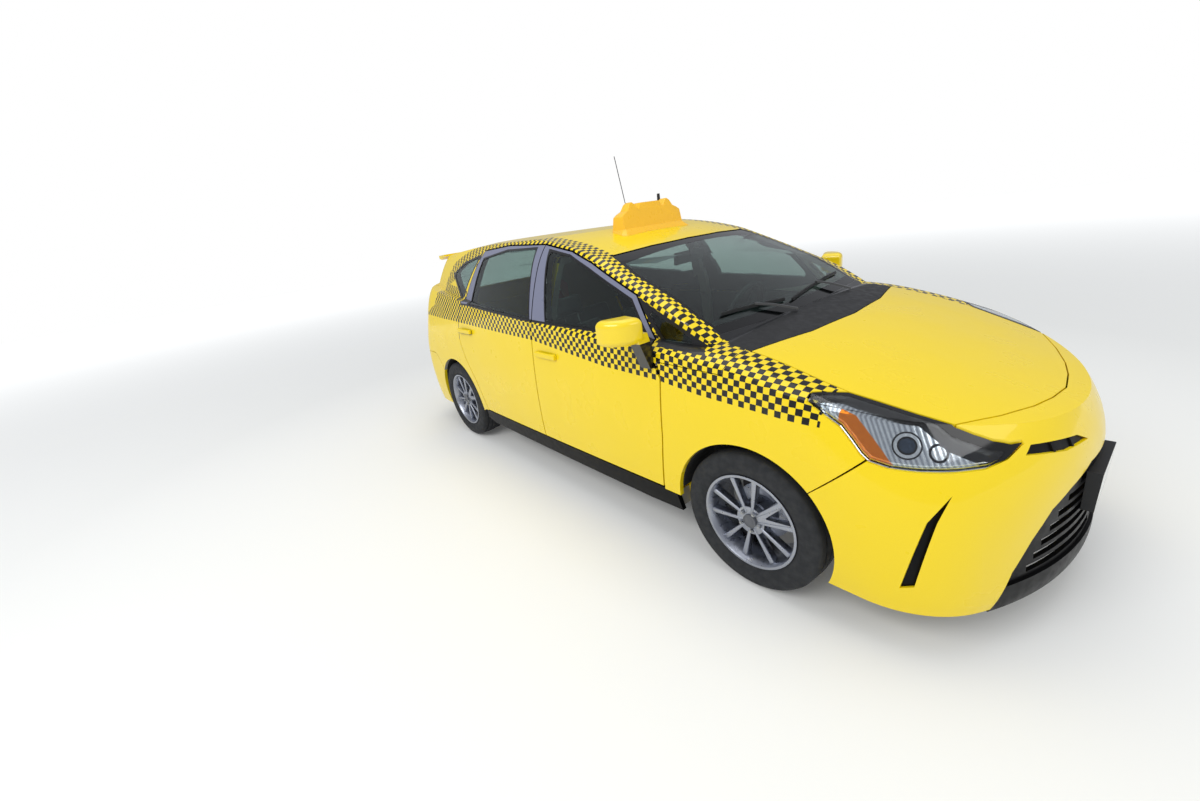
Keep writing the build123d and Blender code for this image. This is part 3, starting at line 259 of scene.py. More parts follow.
def checker(finish, at):
    """1 where the paint is black."""
    add = finish.add
    # Lower field: rows count up from its lower edge and on over the shoulder
    over_low = add("SUBTRACT", at.z, along(finish, at.x, BAND_LOW))
    inboard = add("MAXIMUM", add("SUBTRACT", SHOULDER, at.side), 0.0)
    rise = add("MULTIPLY_ADD", inboard, SHOULDER_SHARE, over_low)
    # Upper field: rows count from the side-window line, columns follow its slope
    up = add("SUBTRACT", at.z, along(finish, at.x, RAIL_LINE))
    across = add("SUBTRACT", along(finish, at.x, RAIL_LINE, 2), at.side)
    squares = add("ADD", add("MULTIPLY", up, up), add("MULTIPLY", across, across))
    reach = add("SQRT", squares)
    steep = add("GREATER_THAN", at.x, PILLAR_FOOT)
    stretch = add("MULTIPLY_ADD", steep, PILLAR_STRETCH, 1.0)
    forward_of_foot = add("MULTIPLY", add("SUBTRACT", at.x, PILLAR_FOOT), stretch)
    slide = add("SUBTRACT", forward_of_foot, add("MULTIPLY", up, PILLAR_LEAN))
    dividing = add("MULTIPLY_ADD", at.x, UPPER_FALL, UPPER_HEIGHT)
    upper = add("GREATER_THAN", add("SUBTRACT", at.z, dividing), 0.0)
    # Both fields share the squares; a row and a column that add to an odd number are black
    rows = add("Mix", upper, None, rise, reach, data_type="FLOAT")
    columns = add("Mix", upper, None, at.x, slide, data_type="FLOAT")
    row = add("FLOOR", add("DIVIDE", rows, SQUARE))
    column = add("FLOOR", add("DIVIDE", columns, SQUARE))
    black = add("FLOORED_MODULO", add("ADD", row, column), 2.0)
    # The field ends at its lower edge, some rows below the rail, at the roof, the rear quarter and the lamp
    near_rail = add("LESS_THAN", reach, RAIL_ROWS * SQUARE)
    pillar = add("GREATER_THAN", at.x, PILLAR_START)
    lower = add("SUBTRACT", 1.0, upper)
    for inside in (
        add("GREATER_THAN", rise, 0.0),
        add("MAXIMUM", near_rail, add("MAXIMUM", pillar, lower)),
        add("LESS_THAN", at.z, along(finish, at.x, REAR_LIMIT)),
        add("GREATER_THAN", at.side, ROOF_EDGE),
        add("LESS_THAN", at.x, LAMP_CORNER),
    ):
        black = add("MULTIPLY", black, inside)
    return black


print("squares of", SQUARE * 1000, "mm")

# %% [markdown]
# ## Panes, trims and lining in the paint
# A real door is one pressing: paint outside, a glossy dark film on its window frame, a rubber seal round
# each pane, and a dark lining inside. The film's grey-lilac tone is a painted reflection of the sky in it.
# These are flat films and lips of a few millimetres, so they are drawn in the material by place and direction
# instead of being cut out as separate sheets that would fight the panel.

# %% Paint of the panels
YELLOW = "F1D410"
YELLOW_FLAKE = "ECCC08"
BLACK_SQUARE = "0B0B0C"
# The frame film is glossy dark; this grey-lilac is a painted reflection of the sky in it
FRAME_REFLECTION_TONE = "74778C"
SEAL = "0E0E10"
PANE_SEAL = "101013"
PILLAR_FOOT_TRIM = "17181A"
# Line along the lower edge of the side glass: along the car, height
BELT_LINE = (
    (-2.40, 1.160), (-1.000, 1.148), (-0.152, 1.095), (0.032, 1.089), (0.790, 1.067), (0.850, 1.046),
    (0.960, 1.000), (2.40, 0.90),
)
# Panes in side view, counterclockwise: along the car, height
FRONT_PANE = (
    (0.032, 1.094), (0.790, 1.072), (0.672, 1.222), (0.560, 1.270), (0.330, 1.366), (0.140, 1.436),
    (-0.066, 1.470),
)
REAR_PANE = ((-1.000, 1.154), (-0.152, 1.100), (-0.224, 1.487), (-0.600, 1.488), (-0.925, 1.446))
FRONT_QUARTER = ((0.900, 1.056), (1.085, 1.046), (0.940, 1.118), (0.762, 1.200))
REAR_QUARTER = ((-1.470, 1.345), (-1.190, 1.182), (-1.015, 1.462), (-1.300, 1.415))
# Faces of a door frame that turn outward less than this are rubber, and faces below the other are lined
FRAME_EDGE = 0.3
INNER_FACE = -0.25
# Faces below the roof point down more than this, above this height
DOWNWARD = -0.3
CEILING_FOOT = 0.9
PANE_SIDE = 0.6
FILM_START = 0.005
BELT_SEAL = 0.006
DOOR_SEAL = 0.012
QUARTER_SEAL = 0.016
# The black foot of the windscreen pillar: ahead of this, and inboard of that
FOOT_START = 1.08
FOOT_SIDE = 0.662
# Hidden faces of the shell lie within this of the middle, and turn outward and up less than that
CABIN_END = 1.85
HIDDEN_TURN = 0.12


def framed(finish, shade, at):
    """Door frame film above the belt, coloured with its painted reflection, with black seals at the belt, on
    inward faces and round the panes.
    """
    add = finish.add
    over = add("SUBTRACT", at.z, along(finish, at.x, BELT_LINE))
    # Painted reflection: the frame film above the belt takes the grey-lilac tone of the mirrored sky
    shade = add("MixRGB", add("GREATER_THAN", over, FILM_START), shade, FRAME_REFLECTION_TONE)
    above = add("GREATER_THAN", over, 0.0)
    inward = add("MULTIPLY", add("LESS_THAN", at.outward, FRAME_EDGE), above)
    belt = add("LESS_THAN", add("ABSOLUTE", over), BELT_SEAL)
    seals = add("MAXIMUM", belt, inward)
    for pane in (FRONT_PANE, REAR_PANE):
        seals = add("MAXIMUM", seals, around(finish, at, pane, DOOR_SEAL))
    return add("MixRGB", seals, shade, SEAL)


def quartered(finish, shade, at):
    """Black seals round the quarter panes, and the black foot of the windscreen pillar."""
    add = finish.add
    on_side = add("GREATER_THAN", at.side, PANE_SIDE)
    for pane in (FRONT_QUARTER, REAR_QUARTER):
        seal = add("MULTIPLY", around(finish, at, pane, QUARTER_SEAL), on_side)
        shade = add("MixRGB", seal, shade, PANE_SEAL)
    ahead = add("GREATER_THAN", at.x, FOOT_START)
    foot = add("MULTIPLY", ahead, add("LESS_THAN", at.side, FOOT_SIDE))
    return add("MixRGB", foot, shade, PILLAR_FOOT_TRIM)


def lined(finish, shade, rough, at, lining, quarters):
    """Woven lining on inner faces: those that face the middle of the car, and the underside of the roof."""
    add = finish.add
    down = add("LESS_THAN", at.up, DOWNWARD)
    ceiling = add("MULTIPLY", down, add("GREATER_THAN", at.z, CEILING_FOOT))
    inner = add("MAXIMUM", add("LESS_THAN", at.outward, INNER_FACE), ceiling)
    if quarters:
        flat = add("LESS_THAN", at.outward, HIDDEN_TURN)
        hidden = add("MULTIPLY", flat, add("LESS_THAN", at.up, HIDDEN_TURN))
        within = add("LESS_THAN", add("ABSOLUTE", at.x), CABIN_END)
        inner = add("MAXIMUM", inner, add("MULTIPLY", hidden, within))
    # Yarn of under a millimetre, which only breaks up the tone
    yarn = add("MapRange", add("TexNoise", finish.place, None, 1300.0, 2.0), *NOISE)
    shade = add("MixRGB", inner, shade, add("MixRGB", yarn, *lining))
    rough = add("ADD", rough, add("MULTIPLY", inner, 0.5), use_clamp=True)
    return shade, rough


def yellow_flake(finish):
    """Yellow base coat that a flake of about 1 mm varies slightly, so that it doesn't look like plastic."""
    flake = finish.add("TexNoise", finish.place, None, 900.0, 2.0)
    return finish.add("MixRGB", finish.add("MapRange", flake, *NOISE), YELLOW, YELLOW_FLAKE)


def orange_peel(finish):
    """Shallow waves of 7 mm that sprayed lacquer leaves, just enough to soften a reflection's edge."""
    waves = finish.add("TexNoise", finish.place, None, 140.0, 1.0)
    finish.give("Normal", finish.add("Bump", 0.004, 0.0005, named={"Height": waves}))


def paint(name, patterned=False, frames=False, quarters=False, lining=None):
    """Lacquered yellow, with the checker, door frames, pane seals and lining where they are asked for."""
    finish = Finish(name, YELLOW, 0.32, 0.0, 0.4, 0.3)
    add = finish.add
    at = sides(finish)
    shade = yellow_flake(finish)
    if patterned:
        shade = add("MixRGB", checker(finish, at), shade, BLACK_SQUARE)
    rough = add("MapRange", add("TexNoise", finish.place, None, 6.0, 3.0), *NOISE, 0.26, 0.36)
    if frames:
        shade = framed(finish, shade, at)
    if quarters:
        shade = quartered(finish, shade, at)
    if lining:
        shade, rough = lined(finish, shade, rough, at, lining, quarters)
    finish.give("Base Color", shade)
    finish.give("Roughness", rough)
    orange_peel(finish)
    return finish.material


HEADLINING = ("8F8C86", "A19E97")
DOOR_LINING = ("2E2D30", "3D3B3E")
plain_paint = paint("yellow paint")
checker_paint = paint("yellow paint with checker band", patterned=True)
shell_paint = paint("yellow body paint with pale headlining", True, quarters=True, lining=HEADLINING)
# The door frames' grey-lilac is a painted reflection
door_paint = paint("yellow door paint with lilac grey frame trim", True, frames=True, lining=DOOR_LINING)
print("paints", [m.name for m in (plain_paint, checker_paint, shell_paint, door_paint)])

# %% [markdown]
# ## Plastics, metal and cloth
# Moulded ABS and rubber carry a grain from the tool, which spreads a reflection. Cast and brushed metal
# carries faint streaks of roughness. Cloth is two tones of yarn that cross. Each is one function with the
# few values that tell its pieces apart, so that a whole family stays alike.

# %% Plastics, metal and cloth
# Radians of the yarn's waves per metre
THREADS = 5200.0


def moulded(name, base, roughness, grain=700.0, depth=0.0003, strength=0.25, coat=0.0, shine=0.5):
    """Moulded plastic or rubber, whose grain, in ridges per metre, gives a soft and broken highlight."""
    finish = Finish(name, base, roughness, 0.0, coat, shine)
    add = finish.add
    patches = add("TexNoise", finish.place, None, 30.0, 3.0)
    highest = min(roughness * 1.15, 1.0)
    finish.give("Roughness", add("MapRange", patches, *NOISE, roughness * 0.85, highest))
    ridges = add("TexNoise", finish.place, None, grain, 2.0)
    finish.give("Normal", add("Bump", strength, depth, named={"Height": ridges}))
    return finish.material


def metal(name, base, roughness):
    """Bare or lacquered metal, still open for more nodes, with faint streaks in its reflections."""
    finish = Finish(name, base, roughness, 1.0)
    streaks = finish.add("TexNoise", finish.place, None, 60.0, 5.0)
    span = (roughness * 0.75, roughness * 1.25)
    finish.give("Roughness", finish.add("MapRange", streaks, *NOISE, *span))
    return finish


def woven(name, first, second):
    """Cloth of two tones of yarn that cross every 1.2 mm, with the sheen of loose fibres."""
    finish = Finish(name, first, 0.9)
    add = finish.add
    x, y, z = add("SeparateXYZ", finish.place).node.outputs
    threads = [add("SINE", add("MULTIPLY", add("ADD", way, z), THREADS)) for way in (x, y)]
    yarn = add("MULTIPLY", *threads)
    tone = add("MapRange", yarn, *WAVE)
    finish.give("Base Color", add("MixRGB", tone, first, second))
    finish.give("Sheen Weight", 0.3)
    finish.give("Normal", add("Bump", 0.4, 0.0004, named={"Height": yarn}))
    return finish.material


print("yarn every", round(math.tau / THREADS * 1000, 2), "mm")

# %% [markdown]
# ## Mirror caps and plates
# The mirror's cap is painted with the car and stands on a gloss black foot; the two meet on a slanting
# line, so the paint asks on which side of it a point lies. The plates are blank: a pale enamelled sheet in
# a black holder.

# %% Mirror caps and plates
MIRROR_FOOT_TOP = 1.0775
MIRROR_REAR = 1.172
MIRROR_SLANT = 0.43
GLOSS_BLACK = "0C0D0F"
PLATE_HALF = 0.1475
PLATE_HALF_HEIGHT = 0.0720
HOLDER = "131416"


def mirror_paint(name):
    """Yellow mirror cap on a gloss black foot."""
    finish = Finish(name, YELLOW, 0.3, 0.0, 0.6)
    add = finish.add
    at = sides(finish)
    low = add("LESS_THAN", at.z, MIRROR_FOOT_TOP)
    rear = add("LESS_THAN", add("MULTIPLY_ADD", at.side, MIRROR_SLANT, at.x), MIRROR_REAR)
    foot = add("MAXIMUM", low, rear)
    finish.give("Base Color", add("MixRGB", foot, yellow_flake(finish), GLOSS_BLACK))
    orange_peel(finish)
    return finish.material


def plate_face(name, face, middle):
    """Blank pale plate on a black holder, given where it starts along the car and its middle height."""
    finish = Finish(name, HOLDER, 0.5)
    add = finish.add
    at = sides(finish)
    before = add("GREATER_THAN", add("ABSOLUTE", at.x), face)
    inside = add("MULTIPLY", add("LESS_THAN", at.side, PLATE_HALF), before)
    from_middle = add("ABSOLUTE", add("SUBTRACT", at.z, middle))
    band = add("LESS_THAN", from_middle, PLATE_HALF_HEIGHT)
    haze = add("MapRange", add("TexNoise", finish.place, None, 25.0, 3.0), *NOISE)
    blank = add("MixRGB", haze, "E4E4DE", "EDEDE8")
    finish.give("Base Color", add("MixRGB", add("MULTIPLY", inside, band), HOLDER, blank))
    grain = add("TexNoise", finish.place, None, 300.0, 3.0)
    finish.give("Normal", add("Bump", 0.05, 0.0003, named={"Height": grain}))
    return finish.material


print("blank plates", round(2 * PLATE_HALF, 3), "m wide")

# %% [markdown]
# ## Glass
# Car windows are tempered glass with a green-blue tint, and the windscreen has a fired black print along
# its edge that hides the glue. The lamp covers are clear polycarbonate with a dark band moulded along the
# inner edge and the tip. In the render a glass that stops the lamps would leave the cabin black, so shadow
# rays pass straight through.

# %% Glass
GLASS_IOR = 1.45
PRINT = "0A0B0C"
# Windscreen edge: height, distance from the middle
SCREEN_EDGE = (
    (-2.40, 0.66), (1.072, 0.648), (1.150, 0.660), (1.330, 0.640), (1.420, 0.590), (1.438, 0.30),
    (2.40, 0.20),
)
SCREEN_PRINT = 0.022
SCREEN_TOP = 1.412
SCREEN_BOW = 0.10
SCREEN_FOOT = 1.100
# Inner edge of the headlamp: along the car, distance from the middle
LAMP_EDGE = (
    (-2.40, 0.90), (1.59, 0.812), (1.69, 0.702), (1.778, 0.676), (1.887, 0.646), (1.989, 0.612),
    (2.034, 0.578), (2.077, 0.540), (2.116, 0.494), (2.136, 0.458), (2.40, 0.40),
)
COVER_BAND = 0.022
COVER_TIP = 1.885
COVER_LEAN = 0.3


def screen_print(finish, at):
    """Black print along the sides, top and foot of the windscreen."""
    add = finish.add
    to_edge = add("SUBTRACT", at.side, along(finish, at.z, SCREEN_EDGE))
    near_side = add("GREATER_THAN", to_edge, -SCREEN_PRINT)
    bow = add("MULTIPLY_ADD", add("MULTIPLY", at.side, at.side), SCREEN_BOW, at.z)
    top = add("GREATER_THAN", bow, SCREEN_TOP)
    foot = add("LESS_THAN", at.z, SCREEN_FOOT)
    return add("MAXIMUM", near_side, add("MAXIMUM", top, foot))


def lamp_print(finish, at):
    """Dark band along the inner edge and over the front tip of a headlamp cover."""
    add = finish.add
    to_edge = add("SUBTRACT", at.side, along(finish, at.x, LAMP_EDGE))
    strip = add("LESS_THAN", to_edge, COVER_BAND)
    ahead = add("MULTIPLY_ADD", at.z, -COVER_LEAN, at.x)
    return add("MAXIMUM", strip, add("GREATER_THAN", ahead, COVER_TIP))


def glazing(name, tint, printed=None):
    """Clear glass that lets lamps through, with a printed dark edge where it is asked for."""
    finish = Finish(name, tint, 0.0)
    add = finish.add
    finish.give("Transmission Weight", 1.0)
    finish.give("IOR", GLASS_IOR)
    shadow = add("LightPath", output="Is Shadow Ray")
    clear = add("BsdfTransparent", tint)
    surface = add("MixShader", shadow, finish.shader.outputs[0], clear)
    if printed:
        enamel = add("BsdfPrincipled", named={"Base Color": PRINT, "Roughness": 0.08})
        surface = add("MixShader", printed(finish, sides(finish)), surface, enamel)
    finish.fill(finish.tree.nodes["Material Output"].inputs["Surface"], surface)
    return finish.material


print("glass with index", GLASS_IOR)

# %% [markdown]
# ## Lamps
# A headlamp's housing is metallised plastic. Its reflector has upright flutes that spread the light, an
# amber indicator at the outer rear end, a dark inner strip, and round projector lenses in bright rings.
# Tail lamps have a ribbed lens. All of it sits behind glass and shows as tone, so it is drawn on the
# housing by place, and the flutes' reflections are painted in as lighter and darker stripes.

# %% Lamps
FLUTES = 520.0
AMBER_SIDE = 0.768
AMBER_START = 1.70
HOUSING_BAND = 0.030
HOUSING_TIP = 2.060
# Middles of the projector lenses: along the car, distance from the middle, height
PROJECTORS = ((1.995, 0.690, 0.775), (1.905, 0.735, 0.795))
# Rings of a projector from its outside in: radius, tone
RINGS = ((0.052, "22242A"), (0.047, "E6E8EA"), (0.038, "0E1014"), (0.033, "3C4A5C"))
LENS_RIB = 0.012
REVERSING_HALF = 0.028
# Shares of the tail lamps' length and height: where the red ends, and the middle of the reversing strip
RED_END = 0.55
REVERSING_MIDDLE = 0.42


def lamp_interior(name):
    """Fluted chrome reflector with painted highlight stripes on its flutes, an amber end, a dark inner strip
    and ringed projector lenses.
    """
    finish = metal(name, "C4C8CC", 0.16)
    add = finish.add
    at = sides(finish)
    wave = add("SINE", add("MULTIPLY", add("MULTIPLY_ADD", at.z, 0.5, at.x), FLUTES))
    # Painted highlights: the chrome is lighter and darker across each flute, standing in for the reflections
    # along them
    shade = add("MixRGB", add("MapRange", wave, *WAVE), "B4B9C0", "F0F2F4")
    outer = add("GREATER_THAN", at.side, AMBER_SIDE)
    amber = add("MULTIPLY", outer, add("GREATER_THAN", at.x, AMBER_START))
    shade = add("MixRGB", amber, shade, "FF8A18")
    to_edge = add("SUBTRACT", at.side, along(finish, at.x, LAMP_EDGE))
    strip = add("LESS_THAN", to_edge, HOUSING_BAND)
    tip = add("GREATER_THAN", at.x, HOUSING_TIP)
    shade = add("MixRGB", add("MAXIMUM", strip, tip), shade, "15161A")
    place = add("CombineXYZ", at.x, at.side, at.z)
    for middle in PROJECTORS:
        away = add("VectorMath DISTANCE", place, middle, output="Value")
        for radius, tone in RINGS:
            shade = add("MixRGB", add("LESS_THAN", away, radius), shade, tone)
    finish.give("Base Color", shade)
    finish.give("Normal", add("Bump", 0.35, 0.0006, named={"Height": wave}))
    return finish.material


def tail_lens(name):
    """Tail lamp lens with fine ribs: pale over the flank, red behind, with a clear reversing strip."""
    finish = Finish(name, "C98A8C", 0.1, 0.0, 0.8)
    add = finish.add
    at = sides(finish)
    low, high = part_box("tail_lamps")
    rib = add("SINE", add("MULTIPLY", at.z, math.tau / LENS_RIB))
    rear = add("LESS_THAN", at.x, low[0] + (high[0] - low[0]) * RED_END)
    shade = add("MixRGB", rear, "CB8F90", "A81E26")
    middle = low[2] + (high[2] - low[2]) * REVERSING_MIDDLE
    from_middle = add("ABSOLUTE", add("SUBTRACT", at.z, middle))
    strip = add("LESS_THAN", from_middle, REVERSING_HALF)
    shade = add("MixRGB", add("MULTIPLY", strip, rear), shade, "E3DCDA")
    shade = add("MixRGB", add("MapRange", rib, *WAVE, 0.0, 0.25), shade, "6E1A20")
    finish.give("Base Color", shade)
    finish.give("Normal", add("Bump", 0.3, 0.0008, named={"Height": rib}))
    return finish.material


print("lens ribs every", LENS_RIB * 1000, "mm")

# %% [markdown]
# ## The finishes
# Each is named for its real material and how its surface was made. Trim near the ground is satin black,
# which stays dark though it faces a pale floor. Cast alloy is a little rough, wheel nuts are brighter, and
# the mirror's silver is almost perfectly smooth.

# %% The finishes
mirror_cap = mirror_paint("yellow mirror cap with black foot")
window_glass = glazing("tinted window glass", "A9BBB6")
screen_glass = glazing("windscreen glass with printed black edge", "B7C8C3", screen_print)
lamp_glass = glazing("clear lamp cover with dark edge", "F4F8FA", lamp_print)
# Coarse tool grain: looks dry and dark
black_plastic = moulded("black grained plastic", "17181A", 0.55)
# Polished tool and lacquer: sharp highlights
gloss_black = moulded("gloss black plastic", GLOSS_BLACK, 0.12, 200.0, 0.0001, 0.05, 0.6)
# Etched tool: hardly reflects the road
deep_black = moulded("satin black grille plastic", "09090A", 0.38, 300.0, 0.0001, 0.1, 0.0, 0.12)
# Vulcanised rubber with carbon black: dusty, slightly blue
tyre_rubber = moulded("tyre rubber", "1E2023", 0.78, 420.0, 0.0004, 0.3)
seal_rubber = moulded("seal rubber", "101112", 0.6)
# Cast aluminium under dark lacquer: broad soft highlights
alloy = metal("dark silver alloy", "A2A6B0", 0.34).material
steel = metal("brushed steel", "9A9B9C", 0.35).material
# Sand-cast iron: rough and brown-grey
cast = moulded("cast iron", "4A4644", 0.75, 260.0, 0.0006, 0.4)
# Sprayed wax and rubber: coarse and matt
underseal = moulded("black underseal", "1B1C1D", 0.8, 180.0, 0.0008, 0.5)
# Translucent acrylic, vacuum formed: smooth with rounded highlights
sign_plastic = moulded("amber sign plastic", "F7BE22", 0.3, 500.0, 0.00005, 0.02, 0.2)
red_lens = tail_lens("ribbed tail lamp lens")
bowl = lamp_interior("fluted lamp reflector with amber end")
plate_front = plate_face("blank front plate on black holder", 2.3205, 0.480)
plate_rear = plate_face("blank rear plate on black holder", 2.2700, 0.862)
# Zinc-plated steel: brighter than the rim
nut_steel = metal("wheel nut steel", "A7A9AC", 0.28).material
mirror_silver = metal("silvered mirror glass", "E4E7EA", 0.02).material
seat_cloth = woven("seat cloth", "4B4A4C", "5B5A5C")
cap_plastic = moulded("wheel cap plastic", "55575C", 0.35)

# %% [markdown]
# ## Which node gets which finish
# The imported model's own pieces keep their shape and get a finish by how their name starts, so that left and
# right go together. The first line that fits counts, and whatever isn't listed is black plastic.

# %% Which node gets which finish
GROUPS = (
    (tyre_rubber, "tyre_"),
    (alloy, "wheel_"),
    (window_glass, "front_door_glass", "rear_door_glass", "tailgate_glass", "quarter_glasses"),
    (door_paint, "front_door_", "rear_door_"),
    (mirror_cap, "door_mirror_"),
    (shell_paint, "body_shell"),
    (checker_paint, "fender_"),
    (plain_paint, "bonnet", "front_bumper", "rear_bumper", "tailgate"),
    (screen_glass, "windscreen"),
    (lamp_glass, "headlamp_covers"),
    (bowl, "headlamps"),
    (red_lens, "tail_lamps"),
    (sign_plastic, "roof_sign"),
    (deep_black, "lower_grille", "bumper_inserts", "sill_covers"),
    (underseal, "arch_liners", "floor_pan", "front_subframe", "rear_axle_beam", "front_seat_bases"),
    (cast, "knuckle_"),
    (steel, "engine_block", "exhaust"),
    (plate_front, "front_plate"),
    (plate_rear, "rear_plate"),
)
for name, node in nodes.items():
    fitting = [finish for finish, *starts in GROUPS if name.startswith(tuple(starts))]
    node.data.materials.clear()
    node.data.materials.append((fitting or [black_plastic])[0])
print("finished", len(nodes), "nodes")

# %% [markdown]
# ## Modelling helpers
# Every piece starts from a primitive or from a merged copy of a solid's mesh and is shaped with Blender's
# own operators. An operator acts on all that is selected, so each piece is taken alone first.

# %% Modelling helpers
def let_go():
    """Leave edit mode and select nothing, as before a new primitive is added."""
    if bpy.context.mode != "OBJECT":
        bpy.ops.object.mode_set(mode="OBJECT")
    for other in bpy.context.selected_objects:
        other.select_set(False)
    bpy.context.view_layer.objects.active = None


def take(*pieces):
    """Select these pieces alone and make the first active."""
    let_go()
    for piece in pieces:
        piece.select_set(True)
    bpy.context.view_layer.objects.active = pieces[0]


def edit_all(piece):
    """Go to edit mode with the whole of one piece selected."""
    take(piece)
    bpy.ops.object.mode_set(mode="EDIT")
    mesh.select_all(action="SELECT")


def block(size, place=(0, 0, 0)):
    """A box of a given size with its middle at a place."""
    let_go()
    mesh.primitive_cube_add(size=1.0, location=place)
    piece = bpy.context.object
    piece.dimensions = size
    bpy.ops.object.transform_apply(location=True, rotation=True, scale=True)
    return piece


def pick_faces(piece, test):
    """Go to edit mode with only the faces selected whose centre and normal pass a test."""
    take(piece)
    for group in (piece.data.vertices, piece.data.edges):
        group.foreach_set("select", [False] * len(group))
    for face in piece.data.polygons:
        face.select = test(face.center, face.normal)
    bpy.ops.object.mode_set(mode="EDIT")
    mesh.select_mode(type="FACE")


def settle(piece, name, finish, body, smooth=35.0):
    """Name, finish and body of a piece, with its place put into its mesh."""
    take(piece)
    bpy.ops.object.transform_apply(location=True, rotation=True, scale=True)
    bpy.ops.object.shade_smooth_by_angle(angle=math.radians(smooth))
    piece.name = name
    piece.data.materials.clear()
    piece.data.materials.append(finish)
    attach(piece, body)
    return piece


def modify(piece, kind, **settings):
    """Take a piece, add a modifier with its settings, and apply it."""
    take(piece)
    modifier = piece.modifiers.new(kind, kind)
    for key, value in settings.items():
        setattr(modifier, key, value)
    bpy.ops.object.modifier_apply(modifier=modifier.name)


def round_edges(piece, width, segments, angle):
    """Rounded edges, as moulded, cast and pressed pieces have."""
    limit = math.radians(angle)
    modify(piece, "BEVEL", width=width, segments=segments, limit_method="ANGLE", angle_limit=limit)


def merged_copy(node):
    """A copy of a solid's mesh with its loose triangles joined and its custom normals cleared."""
    piece = placed(node + "_shape", nodes[node].data.copy())
    edit_all(piece)
    mesh.remove_doubles(threshold=0.00003)
    bpy.ops.object.mode_set(mode="OBJECT")
    if piece.data.has_custom_normals:
        mesh.customdata_custom_splitnormals_clear()
    return piece


def copied(piece, name, matrix, mirrored=False):
    """A copy with its own mesh at another place."""
    twin = placed(name, piece.data.copy())
    twin.data.transform(matrix)
    if mirrored:
        twin.data.flip_normals()
    return twin


print("helpers ready")

# %% [markdown]
# ## Wheels
# Cast alloy wheels with five pairs of spokes. The solid carries the barrel, the hub and one pair with sharp
# edges. Here a merged copy gets cast edges, one spoke is shaped from a bar, mirrored to a pair and spun to
# five pairs, and the nuts and the blank centre cap are added in the same place on all four wheels.

# %% Rim and spokes
# Middle of the front left wheel, and how far outboard of it the spokes' face stands
FRONT_LEFT = Vector((1.3725, 0.765, 0.326))
FACE_DEPTH = 0.076
CAST_EDGE = 0.0028
wheel_shape = merged_copy("wheel_front_left")
edit_all(wheel_shape)
mesh.dissolve_limited(angle_limit=math.radians(1.0))
round_edges(wheel_shape, CAST_EDGE, 2, 40.0)

SPOKE_PAIRS = 5
SPOKE_START, SPOKE_END = 0.034, 0.196
SPOKE_DEPTH = 0.034
ROOT_WIDTH, TIP_WIDTH = 0.013, 0.026
ROOT_OFFSET, TIP_OFFSET = 0.0145, 0.0555
SPOKE_CROWN = 0.003
SPOKE_SHOULDER = 0.0042
spoke_middle = Vector(((SPOKE_START + SPOKE_END) / 2, FACE_DEPTH - SPOKE_DEPTH / 2, ROOT_OFFSET))
spokes = block((SPOKE_END - SPOKE_START, SPOKE_DEPTH, ROOT_WIDTH), FRONT_LEFT + spoke_middle)
pick_faces(spokes, lambda centre, normal: normal.x > 0.9)
bpy.ops.transform.resize(value=(1, 1, TIP_WIDTH / ROOT_WIDTH))
bpy.ops.transform.translate(value=(0, 0, TIP_OFFSET - ROOT_OFFSET))
pick_faces(spokes, lambda centre, normal: normal.y > 0.9)
mesh.inset(thickness=SPOKE_SHOULDER)
bpy.ops.transform.translate(value=(0, SPOKE_CROWN, 0))
mesh.select_all(action="SELECT")
mesh.duplicate()
bpy.ops.transform.resize(value=(1, 1, -1), center_override=FRONT_LEFT)
mesh.select_all(action="SELECT")
mesh.normals_make_consistent(inside=False)
# Copies in a ring: one step fewer than there are pairs
ring = {
    "steps": SPOKE_PAIRS - 1, "dupli": True, "angle": math.tau * (SPOKE_PAIRS - 1) / SPOKE_PAIRS,
    "center": FRONT_LEFT, "axis": (0, 1, 0),
}
mesh.spin(**ring)
round_edges(spokes, 0.0022, 2, 25.0)
take(wheel_shape, spokes)
bpy.ops.object.join()
print("wheel faces", len(wheel_shape.data.polygons))

# %% Nuts and cap
# A hexagon nut with a crowned end between each two pairs, and a turned blank cap in the middle
NUT_RING = 0.046
NUT_RADIUS = 0.0098
NUT_LENGTH = 0.016
CAP_RADIUS = 0.031
CAP_DEPTH = 0.012
PROUD = 0.004


def turned(vertices, radius, depth, across, up):
    """Short bar set in the wheel's face, along the axle, with its outer end selected in edit mode."""
    let_go()
    place = FRONT_LEFT + Vector((across, FACE_DEPTH + PROUD, up))
    mesh.primitive_cylinder_add(
        vertices=vertices, radius=radius, depth=depth, location=place, rotation=(math.pi / 2, 0, 0))
    piece = bpy.context.object
    bpy.ops.object.transform_apply(location=True, rotation=True, scale=True)
    pick_faces(piece, lambda centre, normal: normal.y > 0.9)
    return piece


def ledge(inset, rise):
    """Inset the selected faces, then raise or sink what is inside them."""
    mesh.inset(thickness=inset)
    mesh.extrude_region_move(TRANSFORM_OT_translate={"value": (0, rise, 0)})


between = math.pi / SPOKE_PAIRS
nut = turned(6, NUT_RADIUS, NUT_LENGTH, NUT_RING * math.cos(between), NUT_RING * math.sin(between))
ledge(0.0025, 0.004)
mesh.inset(thickness=0.003)
mesh.select_all(action="SELECT")
mesh.spin(**ring)
round_edges(nut, 0.0009, 2, 30.0)
cap = turned(48, CAP_RADIUS, CAP_DEPTH, 0.0, 0.0)
ledge(0.004, -0.0022)
ledge(0.010, 0.0012)
round_edges(cap, 0.0008, 2, 25.0)
print("nut faces", len(nut.data.polygons), "cap faces", len(cap.data.polygons))

